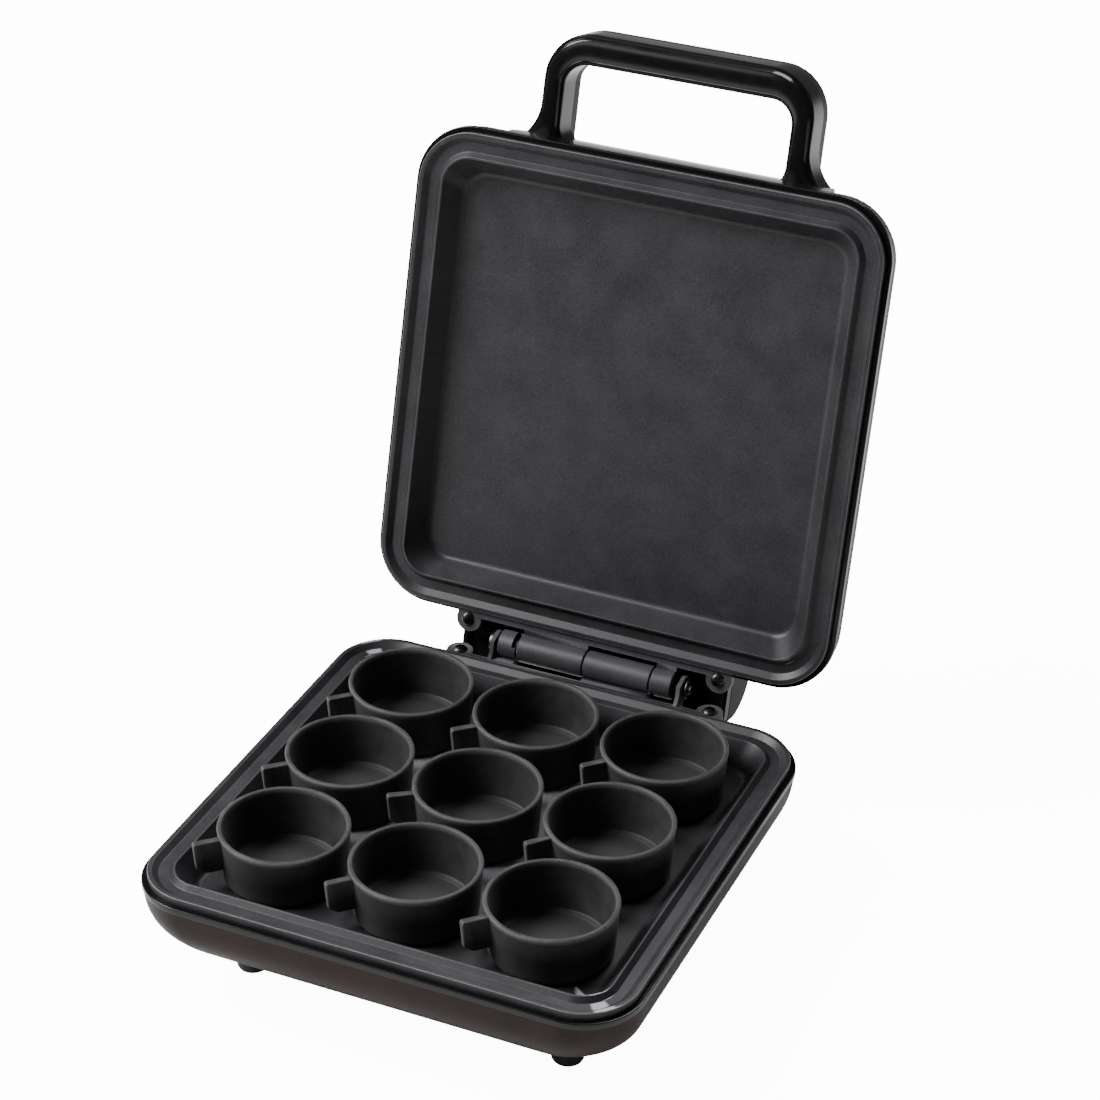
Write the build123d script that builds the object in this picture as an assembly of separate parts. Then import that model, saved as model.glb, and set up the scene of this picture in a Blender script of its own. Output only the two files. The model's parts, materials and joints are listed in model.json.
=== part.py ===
from build123d import *
import os
from math import atan2, cos, sin

# Nine-cup cake maker: square cast pans, hinged lid with loop handle, loose silicone cups.
#
# Built closed with the pan centre at x = y = 0 and the lower lip at z = 0, then the lid
# is swung open and everything is lifted so that the feet stand on z = 0.

# ---------------------------------------------------------------- driving dimensions (mm)
LID_OPEN_DEG = 104.0        # how far the lid stands open at rest
GAP = 3.0                   # between the two lip planes when closed
HINGE_Y = 129.8
HINGE_Z = 3.4
FLOOR_Z = -62.0             # underside of the feet, before the lift
CENTRE_Y = 63.475            # middle of the open appliance, moved to y = 0

CORNER = 90.5               # corner arcs of lips and frames share this centre
MOUTH = 104.5               # half widths, measured at the lip plane unless said
RIDGE = 105.3
LAND_IN = 107.6
LAND_OUT = 112.0
LIP_IN = 114.8
LIP_OUT = 117.0
LAND_DEPTH = 2.4
PAN_FLOOR = 97.0
PAN_DEPTH = 12.0
PAN_FLOOR_R = 12.0
PLATE_WALL = 3.0
RIM_T = 5.2

FRAME = 119.7               # trim frame half width
FRAME_TOP = 3.7             # frame face below its own lip plane
FRAME_END = 6.8
FRAME_IN = 117.3
SHELL_WALL = 2.4
# outer skin: (depth below lip plane, half width, corner radius)
SKIN = ((6.9, 119.3, 28.8), (16.0, 118.3, 29.0), (24.0, 115.5, 29.0), (31.5, 109.8, 28.0),
        (38.0, 101.0, 27.0), (42.4, 89.0, 25.0), (44.0, 77.0, 22.0))
LID_TOP = GAP + SKIN[-1][0]

BARREL_R = 7.0
PIN_R = 2.5
PIN_FIT = 0.05
KNUCKLE_LOW = ((-46.8, -36.7), (-1.3, 33.3))
KNUCKLE_UP = ((-36.3, -1.7), (33.7, 44.6))
STOP_LOW = (39.5, 154.5)    # degrees of the stop slots round the hinge axis, lid open
STOP_UP = (205.5, 320.5)
STOP_T = 2.4
STOP_R = 4.6
LUG_X = 49.0
LUG_T = 2.0
LUG_R = 6.0
FLANGE_Y = 120.5
EAR_X = 66.0
EAR_Y = 121.8
EAR_R = 6.5

HANDLE_X = 67.8             # loop, in the plane of the lid
HANDLE_Y = 169.3
HANDLE_R = 23.3
GRIP_X = 57.0
GRIP_Y = 154.3
GRIP_R = 11.0
HANDLE_FRONT = 24.0
HANDLE_SPLIT = 40.0
HANDLE_BACK = 50.0
ROOT_OUT = 9.5              # how far the outer flare of the handle spreads
ROOT_OUT_Y = 134.0
ROOT_IN = 4.6
ROOT_IN_Y = 124.5
HANDLE_SCREW_X = 62.4
HANDLE_SCREW_Y = 136.0
PAD = ((-119.5, 6.8), (-119.5, 18.0), (-118.2, 26.0), (-116.0, HANDLE_SPLIT))
PAD_X = 78.5

HOUSING_X = 70.0
HOUSING_Y = 146.0
HOUSING_Z = 11.6
DECK_Y = 78.0               # the housing runs on as a flat deck to here
DECK_Z = 46.8

CUP_R = 30.0
CUP_FOOT_R = 28.0
CUP_FOOT_ROUND = 4.0
CUP_H = 26.4
CUP_WALL = 2.0
CUP_PITCH = 65.0
TAB_REACH = 42.0
TAB_T = 3.4
TAB_TOP = 1.2
TAB_H = 16.5
CUP_TABS = (                # name, column, row, tab direction in degrees
    ("cup_front_left", -1, -1, 223), ("cup_front_middle", 0, -1, 225),
    ("cup_front_right", 1, -1, 225), ("cup_middle_left", -1, 0, 222),
    ("cup_centre", 0, 0, 214), ("cup_middle_right", 1, 0, 228),
    ("cup_rear_left", -1, 1, 224), ("cup_rear_middle", 0, 1, 222),
    ("cup_rear_right", 1, 1, 225))

FOOT_X = 78.0
FOOT_FRONT_Y = -74.0
FOOT_REAR_Y = 100.0
FOOT_SEAT_Z = -42.5
FOOT_SINK = 0.15            # the feet sit this deep in their seats
FOOT_TOP_R = 10.5
FOOT_BASE_R = 7.5
SCREW_R = 1.5
HEATER_R = 3.25
HEATER_Z = -(PAN_DEPTH + PLATE_WALL + HEATER_R + 0.05)
SHIELD_Z = -25.0
SHIELD_T = 0.8
BOSS_XY = 46.0              # heat shield screws
POST_XY = 58.0              # screws that hold the tub to the lower plate
POST_Z = -28.2
POST_FOOT_Z = -43.0
TUB_HEAD_Z = -39.5
TERMINAL_Z = -41.2
GLAND_X = 38.0
GLAND_Z = -27.0
GLAND_FACE = 118.6
LENS_X = (-9.0, 9.0)
LENS_Y = 66.0
PART_GAP = 0.05             # assembly slack between touching parts of one body


# ---------------------------------------------------------------- shared shapes
def square(half, radius=None, z=0.0, y_shift=0.0):
    """Rounded square face lying at height z."""
    r = half - CORNER if radius is None else radius
    return Pos(0, y_shift, z) * RectangleRounded(2 * half, 2 * half, r)


def frustum(half_a, z_a, half_b, z_b, r_a=None, r_b=None):
    """Rounded square that changes size evenly between two heights."""
    return loft(Sketch() + [square(half_a, r_a, z_a), square(half_b, r_b, z_b)], ruled=True)


def slab(half, z_low, z_high, radius=None):
    """Straight rounded-square block."""
    return extrude(square(half, radius, z_low), z_high - z_low)


def block(x0, x1, y0, y1, z0, z1):
    """Axis-aligned box from its limits."""
    return Pos((x0 + x1) / 2, (y0 + y1) / 2, (z0 + z1) / 2) * Box(x1 - x0, y1 - y0, z1 - z0)


def rod(x, y, z_low, z_high, radius):
    """Vertical cylinder."""
    return Pos(x, y, (z_low + z_high) / 2) * Cylinder(radius, z_high - z_low)


def side_rod(x_low, x_high, y, z, radius):
    """Cylinder along X."""
    return Pos((x_low + x_high) / 2, y, z) * Rot(0, 90, 0) * Cylinder(radius, x_high - x_low)


def profile_x(points, x_low, x_high):
    """Prism along X from (y, z) points."""
    plane = Plane(origin=(x_low, 0, 0), x_dir=(0, 1, 0), z_dir=(1, 0, 0))
    return extrude(plane * make_face(Polyline(*points, close=True)), x_high - x_low)


def tube_path(points, radius, bend):
    """Round bar swept along a bent path."""
    path = FilletPolyline(*points, radius=bend)
    start = Plane(origin=path @ 0, z_dir=path % 0)
    return sweep(start * Circle(radius), path=path)


def to_lid(shape):
    """Mirror a lower part to the same place on the lid, closed."""
    return Pos(0, 0, GAP) * mirror(shape, about=Plane.XY)


def flip(z):
    """Height on the closed lid that mirrors a height on the base."""
    return GAP - z


# ---------------------------------------------------------------- cast plates
def pan_body():
    """Pan with lip, land and outer rim, mouth up, lip at z = 0."""
    rim = slab(LIP_OUT, -RIM_T, 0)
    tray = frustum(MOUTH + PLATE_WALL, 0, PAN_FLOOR + 2.4, -PAN_DEPTH - PLATE_WALL, r_b=14.0)
    body = rim + tray
    groove = frustum(LIP_IN, 0, LAND_OUT, -LAND_DEPTH) - frustum(RIDGE, 0, LAND_IN, -LAND_DEPTH)
    cavity = frustum(MOUTH, 0, PAN_FLOOR, -PAN_DEPTH, r_b=PAN_FLOOR_R)
    floor_edges = cavity.faces().sort_by(Axis.Z)[0].edges()
    cavity = fillet(floor_edges, 3.0)
    body = body - groove - cavity
    flange = block(-72, 72, 112, FLANGE_Y, -RIM_T, -0.9)
    ears = [rod(s * EAR_X, EAR_Y, -RIM_T, -0.9, EAR_R) for s in (-1, 1)]
    body = body + (flange - slab(LIP_OUT - 1, -9, 1)) + ears
    for s in (-1, 1):
        body -= rod(s * EAR_X, EAR_Y, -RIM_T - 1, 1, SCREW_R + 0.1)
    for x, y in grid_points(BOSS_XY):
        boss = rod(x, y, SHIELD_Z + PART_GAP, -PAN_DEPTH - 1, 4.0)
        body += boss - rod(x, y, SHIELD_Z - 1, -PAN_DEPTH - 2.5, SCREW_R)
    return body


def post_bosses():
    """Bosses under the lower pan that take the long tub screws."""
    body = Part()
    for x, y in grid_points(POST_XY):
        boss = rod(x, y, POST_Z + PART_GAP, -PAN_DEPTH - 1, 4.0)
        body += boss - rod(x, y, POST_Z - 1, -PAN_DEPTH - 4, SCREW_R)
    return body


def grid_points(half):
    """Four corners of a centred square."""
    return [(sx * half, sy * half) for sx in (-1, 1) for sy in (-1, 1)]


def knuckle(span, lower):
    """Hinge barrel with the web that joins it to the plate flange."""
    x0, x1 = span
    barrel = side_rod(x0, x1, HINGE_Y, HINGE_Z, BARREL_R)
    if lower:
        web = ((114.5, -0.9), (125.2, -0.9), (HINGE_Y, HINGE_Z), (131.0, -3.2),
               (124.0, -RIM_T), (114.5, -RIM_T))
    else:
        web = ((114.5, flip(-0.9)), (125.2, flip(-0.9)), (HINGE_Y, HINGE_Z), (131.0, 10.0),
               (124.0, flip(-RIM_T)), (114.5, flip(-RIM_T)))
    edges = barrel.edges().filter_by(GeomType.CIRCLE)
    return chamfer(edges, 0.5) + (profile_x(web, x0 + 0.3, x1 - 0.3))


def pin_bore():
    """Hole for the hinge pin."""
    return side_rod(-60, 60, HINGE_Y, HINGE_Z, PIN_R + PIN_FIT)


def ring_part(x0, x1, r0, r1, start, end):
    """Sector of a ring round the hinge axis, angles from +Y towards +Z."""
    plane = Plane(origin=(0, HINGE_Y, HINGE_Z), x_dir=(1, 0, 0), z_dir=(0, 0, 1))
    face = plane * Pos((x0 + x1) / 2, (r0 + r1) / 2) * Rectangle(x1 - x0, r1 - r0)
    axis = Axis((0, HINGE_Y, HINGE_Z), (1, 0, 0))
    return revolve(face.rotate(axis, start), axis, revolution_arc=end - start)


def make_lower_plate():
    """Lower pan with its knuckles, stop tooth and the two pin lugs."""
    body = pan_body() + post_bosses()
    for span in KNUCKLE_LOW:
        body += knuckle(span, True)
    for s in (-1, 1):
        x0 = s * LUG_X - LUG_T / 2
        lug = side_rod(x0, x0 + LUG_T, HINGE_Y, HINGE_Z, LUG_R)
        leg = ((115, -0.9), (119.0, -0.9), (121.8, 2.6), (122.8, HINGE_Z + 4.4),
               (HINGE_Y, HINGE_Z + LUG_R), (HINGE_Y + LUG_R, HINGE_Z), (127, -RIM_T), (115, -RIM_T))
        body += lug + profile_x(leg, x0, x0 + LUG_T)
    x_slot = KNUCKLE_LOW[0][1]
    body -= ring_part(x_slot - STOP_T, x_slot + 1, STOP_R, BARREL_R + 1, *STOP_LOW)
    clear = profile_x(((110, 0.02), (118, 0.02), (118, 20), (110, 20)), -60, 60)
    body = body - clear - shaft_room(KNUCKLE_UP)
    x_tooth = KNUCKLE_LOW[1][1]
    tooth = ring_part(x_tooth - 1, x_tooth + STOP_T - 0.1, STOP_R + 0.2, BARREL_R - 0.2,
                      STOP_UP[1] - 10.5, STOP_UP[1] - 0.5)
    return body + tooth - pin_bore()


def make_upper_plate():
    """Upper pan with its knuckles and stop tooth, closed position."""
    body = to_lid(pan_body())
    for span in KNUCKLE_UP:
        body += knuckle(span, False)
    close = LID_OPEN_DEG
    x_slot = KNUCKLE_UP[1][0]
    body -= ring_part(x_slot - 1, x_slot + STOP_T, STOP_R, BARREL_R + 1,
                      STOP_UP[0] + close, STOP_UP[1] + close)
    clear = profile_x(((110, GAP - 0.02), (118, GAP - 0.02), (118, -20), (110, -20)), -60, 60)
    body = body - clear - shaft_room(KNUCKLE_LOW)
    x_tooth = KNUCKLE_UP[0][0]
    tooth = ring_part(x_tooth - STOP_T + 0.1, x_tooth + 1, STOP_R + 0.2, BARREL_R - 0.2,
                      STOP_LOW[0] + 0.5 + close, STOP_LOW[0] + 10.5 + close)
    return body + tooth - pin_bore()


def shaft_room(spans):
    """Space the other plate's barrels turn in."""
    room = [side_rod(a - 0.3, b + 0.3, HINGE_Y, HINGE_Z, BARREL_R + 0.6) for a, b in spans]
    return Part() + room


# ---------------------------------------------------------------- shells and frames
def skin(inset, extra=0.0):
    """Solid enclosed by the outer skin, moved in by a wall thickness."""
    faces = []
    for depth, half, radius in SKIN:
        z = -(depth - extra) if depth == SKIN[0][0] else -(depth - inset)
        faces.append(square(half - inset, radius - inset, z))
    return loft(Sketch() + faces)


def frame_ring():
    """Trim frame around a plate, in base orientation."""
    ring = slab(FRAME, -FRAME_END, -FRAME_TOP)
    ring = chamfer(ring.faces().sort_by(Axis.Z)[-1].edges(), 0.5)
    skirt = slab(FRAME_IN - 0.8, -14.0, -FRAME_END)
    hole = slab(LIP_OUT + 0.15, -RIM_T - PART_GAP, 1)
    inner = slab(110.5, -20, 1)
    return ring + skirt - hole - inner


def make_lower_frame():
    """Black trim frame of the base."""
    body = frame_ring()
    rear = block(-72.5, 72.5, 110, FRAME + 2.2, -9.0, -RIM_T - PART_GAP)
    rear -= slab(110.5, -20, 1)
    body += rear
    body -= block(-72.6, 72.6, 112, 140, -RIM_T - PART_GAP, 10)
    for s in (-1, 1):
        boss = rod(s * EAR_X, EAR_Y, -16, -RIM_T - PART_GAP, 5.0)
        body += boss & block(-80, 80, 100, FRAME + 2.2, -20, 0)
        body -= rod(s * EAR_X, EAR_Y, -17, 0, SCREW_R)
    return body


def make_lower_shell():
    """Outer tub of the base with foot seats, screw posts and the cable hole."""
    body = skin(0) - skin(SHELL_WALL, extra=2.0)
    ledge = slab(FRAME_IN - 0.8 + 0.1, -14.2, 0)
    body -= ledge
    body -= block(-72.6, 72.6, 110, 126, -16.2, 0)
    room = skin(SHELL_WALL, extra=2.0)
    for x, y in foot_points():
        seat = Pos(x, y, FOOT_SEAT_Z + 8.0) * Cone(FOOT_TOP_R + 0.6, FOOT_TOP_R + 2.6, 16.0)
        body += seat - room
        body += rod(x, y, FOOT_SEAT_Z, FOOT_SEAT_Z + 3.0, FOOT_TOP_R + 2.0) & skin(0)
        body += rod(x, y, FOOT_SEAT_Z + 2.0, FOOT_SEAT_Z + 6.5, 4.2)
    for x, y in foot_points():
        body -= rod(x, y, -60, FOOT_SEAT_Z + FOOT_SINK, FOOT_TOP_R + 0.3)
        body -= rod(x, y, -60, FOOT_SEAT_Z + 5.2, SCREW_R)
    for x, y in grid_points(POST_XY):
        body += rod(x, y, POST_FOOT_Z, POST_Z, 5.2)
        body -= rod(x, y, -60, -20, SCREW_R + 0.1)
        body -= rod(x, y, -60, TUB_HEAD_Z + PART_GAP, 3.9)
    turn = Rot(90, 0, 0)
    boss = Pos(GLAND_X, GLAND_FACE - 7, GLAND_Z) * turn * Cylinder(10.0, 14)
    return body + boss - Pos(GLAND_X, GLAND_FACE, GLAND_Z) * turn * Cylinder(6.05, 50)


def handle_outline(x, y, r, foot_y, inset=0.0):
    """Rounded end of the handle loop down to the lid, as a face in XY."""
    half, top, rad = x - inset, y - inset, r - inset
    outline = Polyline((-half, -foot_y), (-half, -top), (half, -top), (half, -foot_y), close=True)
    face = make_face(outline)
    corners = face.vertices().sort_by(Axis.Y)[:2]
    return fillet(corners, rad)


def root_face(side, x, y, spread, reach, foot_y):
    """Curved flare where a handle leg meets the lid, as a face in XY."""
    rise = y - reach
    radius = (spread ** 2 + rise ** 2) / (2 * abs(spread))
    half = atan2(rise, radius - abs(spread)) / 2
    out = 1 if spread > 0 else -1
    mid = (side * (x + out * radius * (1 - cos(half))), -y + radius * sin(half))
    end = (side * (x + spread), -reach)
    arc = ThreePointArc((side * x, -y), mid, end)
    back = Polyline(end, (side * (x + spread), -foot_y), (side * (x - out * 8), -foot_y),
                    (side * (x - out * 8), -y), (side * x, -y))
    return make_face(Curve() + [arc, back])


def handle_ring(z_low, z_high, inset=0.0, foot_y=106.0, flared=True):
    """Loop of the handle between two heights, its roots flared or straight."""
    outer = handle_outline(HANDLE_X, HANDLE_Y, HANDLE_R, foot_y, inset)
    inner = handle_outline(GRIP_X, GRIP_Y, GRIP_R, 117.0 if flared else foot_y - 1, -inset)
    for s in (-1, 1) if flared else ():
        outer += root_face(s, HANDLE_X - inset, ROOT_OUT_Y - inset, ROOT_OUT, 118.0, foot_y)
        corner = root_face(s, GRIP_X + inset, ROOT_IN_Y, -ROOT_IN, 118.8, 116.0)
        inner -= corner
    return extrude(Pos(0, 0, z_low) * (outer - inner), z_high - z_low)


def front_pad():
    """Flat front of the lid that carries the black half of the handle."""
    points = PAD + ((-106, HANDLE_SPLIT), (-106, 6.8))
    return profile_x(points, -PAD_X, PAD_X)


def make_upper_frame():
    """Black frame of the lid with the front half of the handle."""
    body = to_lid(frame_ring())
    pad = front_pad() - block(-90, 90, -115.2, -100, 0, HANDLE_SPLIT - 2.5)
    body += pad - slab(LIP_OUT + 0.15, 0, flip(-RIM_T) + PART_GAP)
    grip = handle_ring(HANDLE_FRONT + 2.6, HANDLE_SPLIT)
    bead = handle_ring(HANDLE_FRONT - 1.2, HANDLE_FRONT + 2.7, inset=1.5)
    top = bead.faces().sort_by(Axis.Z)[0].edges()
    bead = chamfer(top, 2.2, 2.6)
    body += (grip + bead) - block(-90, 90, -115.2, -100, 0, HANDLE_SPLIT - 2.5)
    body += hinge_cover()
    body -= block(-72.6, 72.6, 112, 140, -5, flip(-RIM_T) + PART_GAP)
    for s in (-1, 1):
        body -= rod(s * EAR_X, EAR_Y, 0, 22, SCREW_R)
        body -= rod(s * HANDLE_SCREW_X, -HANDLE_SCREW_Y, 29, 40, SCREW_R)
    return body


def hinge_cover():
    """Black wall behind the hinge that covers the barrels."""
    low = flip(-RIM_T) + PART_GAP
    wall = block(-HOUSING_X, HOUSING_X, 116.5, HOUSING_Y - 2.0, HOUSING_Z, HOUSING_Z + 2.6)
    ends = [block(s * (HOUSING_X - 1.3) - 1.3, s * (HOUSING_X - 1.3) + 1.3, 116.5, HOUSING_Y - 2.0,
                  HOUSING_Z - 3.0, HOUSING_Z + 2.0) for s in (-1, 1)]
    posts = [rod(s * EAR_X, EAR_Y, low, HOUSING_Z + 2.6, 5.2) for s in (-1, 1)]
    return wall + ends + posts


def housing_block(inset=0.0):
    """Rounded rear housing of the lid over the hinge."""
    x = HOUSING_X - inset
    far = HOUSING_Y - inset
    low = HOUSING_Z + 2.7
    top = DECK_Z - inset
    back = Line((DECK_Y, low), (far, low)) + Line((far, low), (far, 24))
    crown = Spline((far, 24), (far - 6.5, top - 11.5), (far - 22, top - 2.4), (100, top),
                   tangents=[(0, 1), (-1, 0)])
    front = Line((100, top), (DECK_Y, top)) + Line((DECK_Y, top), (DECK_Y, low))
    plane = Plane(origin=(-x, 0, 0), x_dir=(0, 1, 0), z_dir=(1, 0, 0))
    body = extrude(plane * make_face(Curve() + [back, crown, front]), 2 * x)
    rim = [edge for end in (0, -1) for edge in body.faces().sort_by(Axis.X)[end].edges()
           if edge.center().Y > DECK_Y + 1 and edge.center().Z > low + 1]
    return fillet(rim, 6.0 - inset)


def make_upper_shell():
    """Outer lid shell with the rear half of the handle and the hinge housing."""
    outer = to_lid(skin(0)) + housing_block()
    loop = handle_ring(HANDLE_SPLIT + PART_GAP, HANDLE_BACK, foot_y=98.0, flared=False)
    back = loop.faces().sort_by(Axis.Z)[-1].edges()
    loop = fillet(back, 4.0)
    web = profile_x(((-116.0, HANDLE_SPLIT + PART_GAP), (-110, 44.0), (-95, 45.6),
                     (-95, HANDLE_SPLIT + PART_GAP)), -PAD_X, PAD_X)
    outer += loop + web
    inner = to_lid(skin(SHELL_WALL, extra=2.0)) + (housing_block(SHELL_WALL) - block(
        -80, 80, 99, 160, 0, HOUSING_Z + 2.75))
    body = outer - inner
    cut = profile_x(((-125, 0), (-125, HANDLE_SPLIT + PART_GAP), (-106, HANDLE_SPLIT + PART_GAP),
                     (-106, 0)), -PAD_X - PART_GAP, PAD_X + PART_GAP)
    body -= cut
    body -= to_lid(slab(FRAME_IN - 0.8 + 0.1, -14.2, 0))
    body -= block(-72.6, 72.6, 112, 150, 0, HOUSING_Z + 2.65)
    for x in LENS_X:
        body -= rod(x, LENS_Y, LID_TOP - 12, LID_TOP + 5, 3.55)
    for s in (-1, 1):
        body -= rod(s * HANDLE_SCREW_X, -HANDLE_SCREW_Y, 30, 60, SCREW_R + 0.1)
        body -= rod(s * HANDLE_SCREW_X, -HANDLE_SCREW_Y, 43.98, 60, 3.9)
    return body


# ---------------------------------------------------------------- hinge hardware
def make_hinge_pin():
    """Steel pin with a head at one end."""
    shank = side_rod(-LUG_X - 3.0, LUG_X + 4.4, HINGE_Y, HINGE_Z, PIN_R)
    head = side_rod(-LUG_X - 3.2, -LUG_X - 1.4, HINGE_Y, HINGE_Z, PIN_R + 1.6)
    groove = side_rod(LUG_X + 2.0, LUG_X + 2.8, HINGE_Y, HINGE_Z, PIN_R + 1)
    groove -= side_rod(LUG_X + 1.9, LUG_X + 2.9, HINGE_Y, HINGE_Z, PIN_R - 0.5)
    return shank + head - groove


def make_pin_clip():
    """Spring clip in the groove of the hinge pin."""
    x0, x1 = LUG_X + 2.05, LUG_X + 2.75
    ring = side_rod(x0, x1, HINGE_Y, HINGE_Z, PIN_R + 2.2)
    ring -= side_rod(x0 - 1, x1 + 1, HINGE_Y, HINGE_Z, PIN_R - 0.45)
    return ring - block(x0 - 1, x1 + 1, HINGE_Y - 1.6, HINGE_Y + 1.6, HINGE_Z - 6, HINGE_Z)


def screw(x, y, z_head, length, head_r=3.6, head_h=2.0, up=True):
    """Pan-head screw with a cross recess; the head faces up or down."""
    head = Cylinder(head_r, head_h)
    head = fillet(head.faces().sort_by(Axis.Z)[-1].edges(), head_h * 0.45)
    recess = Pos(0, 0, head_h / 2) * (Box(head_r * 1.25, 0.9, 2.0) + Box(0.9, head_r * 1.25, 2.0))
    body = Pos(0, 0, head_h / 2) * (head - recess)
    body += Pos(0, 0, -length / 2) * Cylinder(SCREW_R - 0.05, length + 0.02)
    turn = Rot(0, 0, 0) if up else Rot(180, 0, 0)
    return Pos(x, y, z_head) * turn * body


# ---------------------------------------------------------------- inside the housings
def make_heater(level):
    """Tubular heater bent round under the pan, ends turned to the rear."""
    z = level
    points = [(-20, 98, z), (-20, 72, z), (-74, 72, z), (-74, -74, z), (74, -74, z),
              (74, 72, z), (20, 72, z), (20, 98, z)]
    body = tube_path(points, HEATER_R, 12.0)
    pins = [Pos(s * 20, 101, z) * Rot(90, 0, 0) * Cylinder(1.4, 7.0) for s in (-1, 1)]
    return body + pins


def make_heat_shield():
    """Sheet steel tray that keeps the heat against the plate."""
    outer = frustum(93.0, SHIELD_Z + 6.0, 90.0, SHIELD_Z - SHIELD_T, r_a=16, r_b=14)
    inner = frustum(92.2, SHIELD_Z + 6.1, 89.3, SHIELD_Z, r_a=15.4, r_b=13.4)
    body = outer - inner
    for x, y in grid_points(BOSS_XY):
        body -= rod(x, y, SHIELD_Z - 5, SHIELD_Z + 5, SCREW_R + 0.15)
    for x, y in grid_points(POST_XY):
        body -= rod(x, y, SHIELD_Z - 5, SHIELD_Z + 5, 4.6)
    body -= block(-30, 30, 84, 100, SHIELD_Z + 1.5, 0)
    body -= rod(0, 0, SHIELD_Z - 5, SHIELD_Z + 5, 11.0)
    return body


def make_thermostat():
    """Snap-disc thermostat held to the plate."""
    z_top = -(PAN_DEPTH + PLATE_WALL) - PART_GAP
    body = rod(0, 0, z_top - 4.0, z_top, 9.0) + rod(0, 0, z_top - 13.0, z_top - 4.0, 7.6)
    ears = block(-14, 14, -4, 4, z_top - 1.0, z_top)
    blades = [block(s * 4 - 0.4, s * 4 + 0.4, -2.4, 2.4, z_top - 19.0, z_top - 12.9) for s in (-1, 1)]
    return body + ears + blades


def make_thermal_fuse():
    """One-shot thermal fuse in its sleeve."""
    z = -(PAN_DEPTH + PLATE_WALL) - 2.3
    can = side_rod(24, 38, 30, z, 2.1)
    return can + side_rod(18, 44, 30, z, 0.6)


def make_terminal_block():
    """Ceramic terminal block on the floor of the tub."""
    body = block(20, 50, 64, 78, TERMINAL_Z, TERMINAL_Z + 12)
    for x in (26, 35, 44):
        body -= rod(x, 71, TERMINAL_Z + 4, TERMINAL_Z + 14, 2.2)
        body -= Pos(x, 71, TERMINAL_Z + 6.5) * Rot(90, 0, 0) * Cylinder(1.7, 20)
    return body


def make_cable_gland():
    """Moulded inlet bush in the rear wall."""
    turn = Rot(90, 0, 0)
    body = Pos(GLAND_X, GLAND_FACE - 8, GLAND_Z) * turn * Cylinder(5.95, 20)
    rim = Pos(GLAND_X, GLAND_FACE + 1.35, GLAND_Z) * turn * Cylinder(8.2, 2.6)
    body += fillet(rim.edges().sort_by(Axis.Y)[-1:], 1.0)
    return body - Pos(GLAND_X, GLAND_FACE - 8, GLAND_Z) * turn * Cylinder(3.4, 60)


def make_base_leads():
    """Insulated leads from the terminals to heater, fuse and thermostat."""
    z = TERMINAL_Z + 6.5
    return [
        tube_path([(26, 78.5, z), (26, 94, z + 2), (20, 106, -28), (20, 106.5, HEATER_Z)], 1.2, 2.0),
        tube_path([(44, 63.5, z), (44, 30, z), (4, 20, z), (4, 0, -36)], 1.2, 2.0),
    ]


# ---------------------------------------------------------------- feet, lamps, fasteners
def foot_points():
    """Centres of the four feet."""
    return [(s * FOOT_X, y) for s in (-1, 1) for y in (FOOT_FRONT_Y, FOOT_REAR_Y)]


def make_feet():
    """Four conical rubber feet."""
    feet = []
    for x, y in foot_points():
        top = FOOT_SEAT_Z + FOOT_SINK - PART_GAP
        cone = Pos(x, y, (top + FLOOR_Z) / 2) * Cone(FOOT_BASE_R, FOOT_TOP_R, top - FLOOR_Z)
        cone = fillet(cone.faces().sort_by(Axis.Z)[0].edges(), 1.6)
        feet.append(cone - rod(x, y, -70, -40, SCREW_R + 0.1) - rod(x, y, -70, -55, 3.9))
    return feet


def make_foot_screws():
    """Screws that hold the feet."""
    return [screw(x, y, -55.05, 17.0, up=False) for x, y in foot_points()]


def make_tub_screws():
    """Long screws from the tub posts into the lower plate."""
    return [screw(x, y, TUB_HEAD_Z, 21.5, up=False) for x, y in grid_points(POST_XY)]


def make_lenses():
    """Two indicator lenses in the top of the lid."""
    lenses = []
    for x in LENS_X:
        low = LID_TOP - 4.8
        lens = rod(x, LENS_Y, low, LID_TOP + 0.2, 3.5) + rod(x, LENS_Y, low, low + 1.2, 4.6)
        lenses.append(lens)
    return lenses


def make_lamps():
    """Two indicator lamps under the lenses."""
    return [rod(x, LENS_Y, LID_TOP - 15.0, LID_TOP - 5.0, 2.2) for x in LENS_X]


def make_cup(angle):
    """Silicone cup standing on z = 0 with a flat tab on one side."""
    outer = Cone(CUP_FOOT_R, CUP_R, CUP_H, align=(Align.CENTER, Align.CENTER, Align.MIN))
    outer = fillet(outer.faces().sort_by(Axis.Z)[0].edges(), CUP_FOOT_ROUND)
    inner = Pos(0, 0, CUP_WALL) * Cone(CUP_FOOT_R - CUP_WALL, CUP_R - CUP_WALL, CUP_H,
                                       align=(Align.CENTER, Align.CENTER, Align.MIN))
    inner = fillet(inner.faces().sort_by(Axis.Z)[0].edges(), 2.0)
    top = CUP_H - TAB_TOP
    plane = Plane(origin=(0, TAB_T / 2, 0), x_dir=(1, 0, 0), z_dir=(0, -1, 0))
    outline = make_face(Polyline((20, top), (TAB_REACH, top), (TAB_REACH - 1.2, top - TAB_H + 3.0),
                                 (TAB_REACH - 5.5, top - TAB_H), (20, top - TAB_H), close=True))
    corner = outline.vertices().sort_by_distance((TAB_REACH, top, 0))[:1]
    outline = fillet(corner, 1.4)
    tab = extrude(plane * outline, TAB_T)
    return Rot(0, 0, angle) * (outer + tab - inner)


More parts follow.
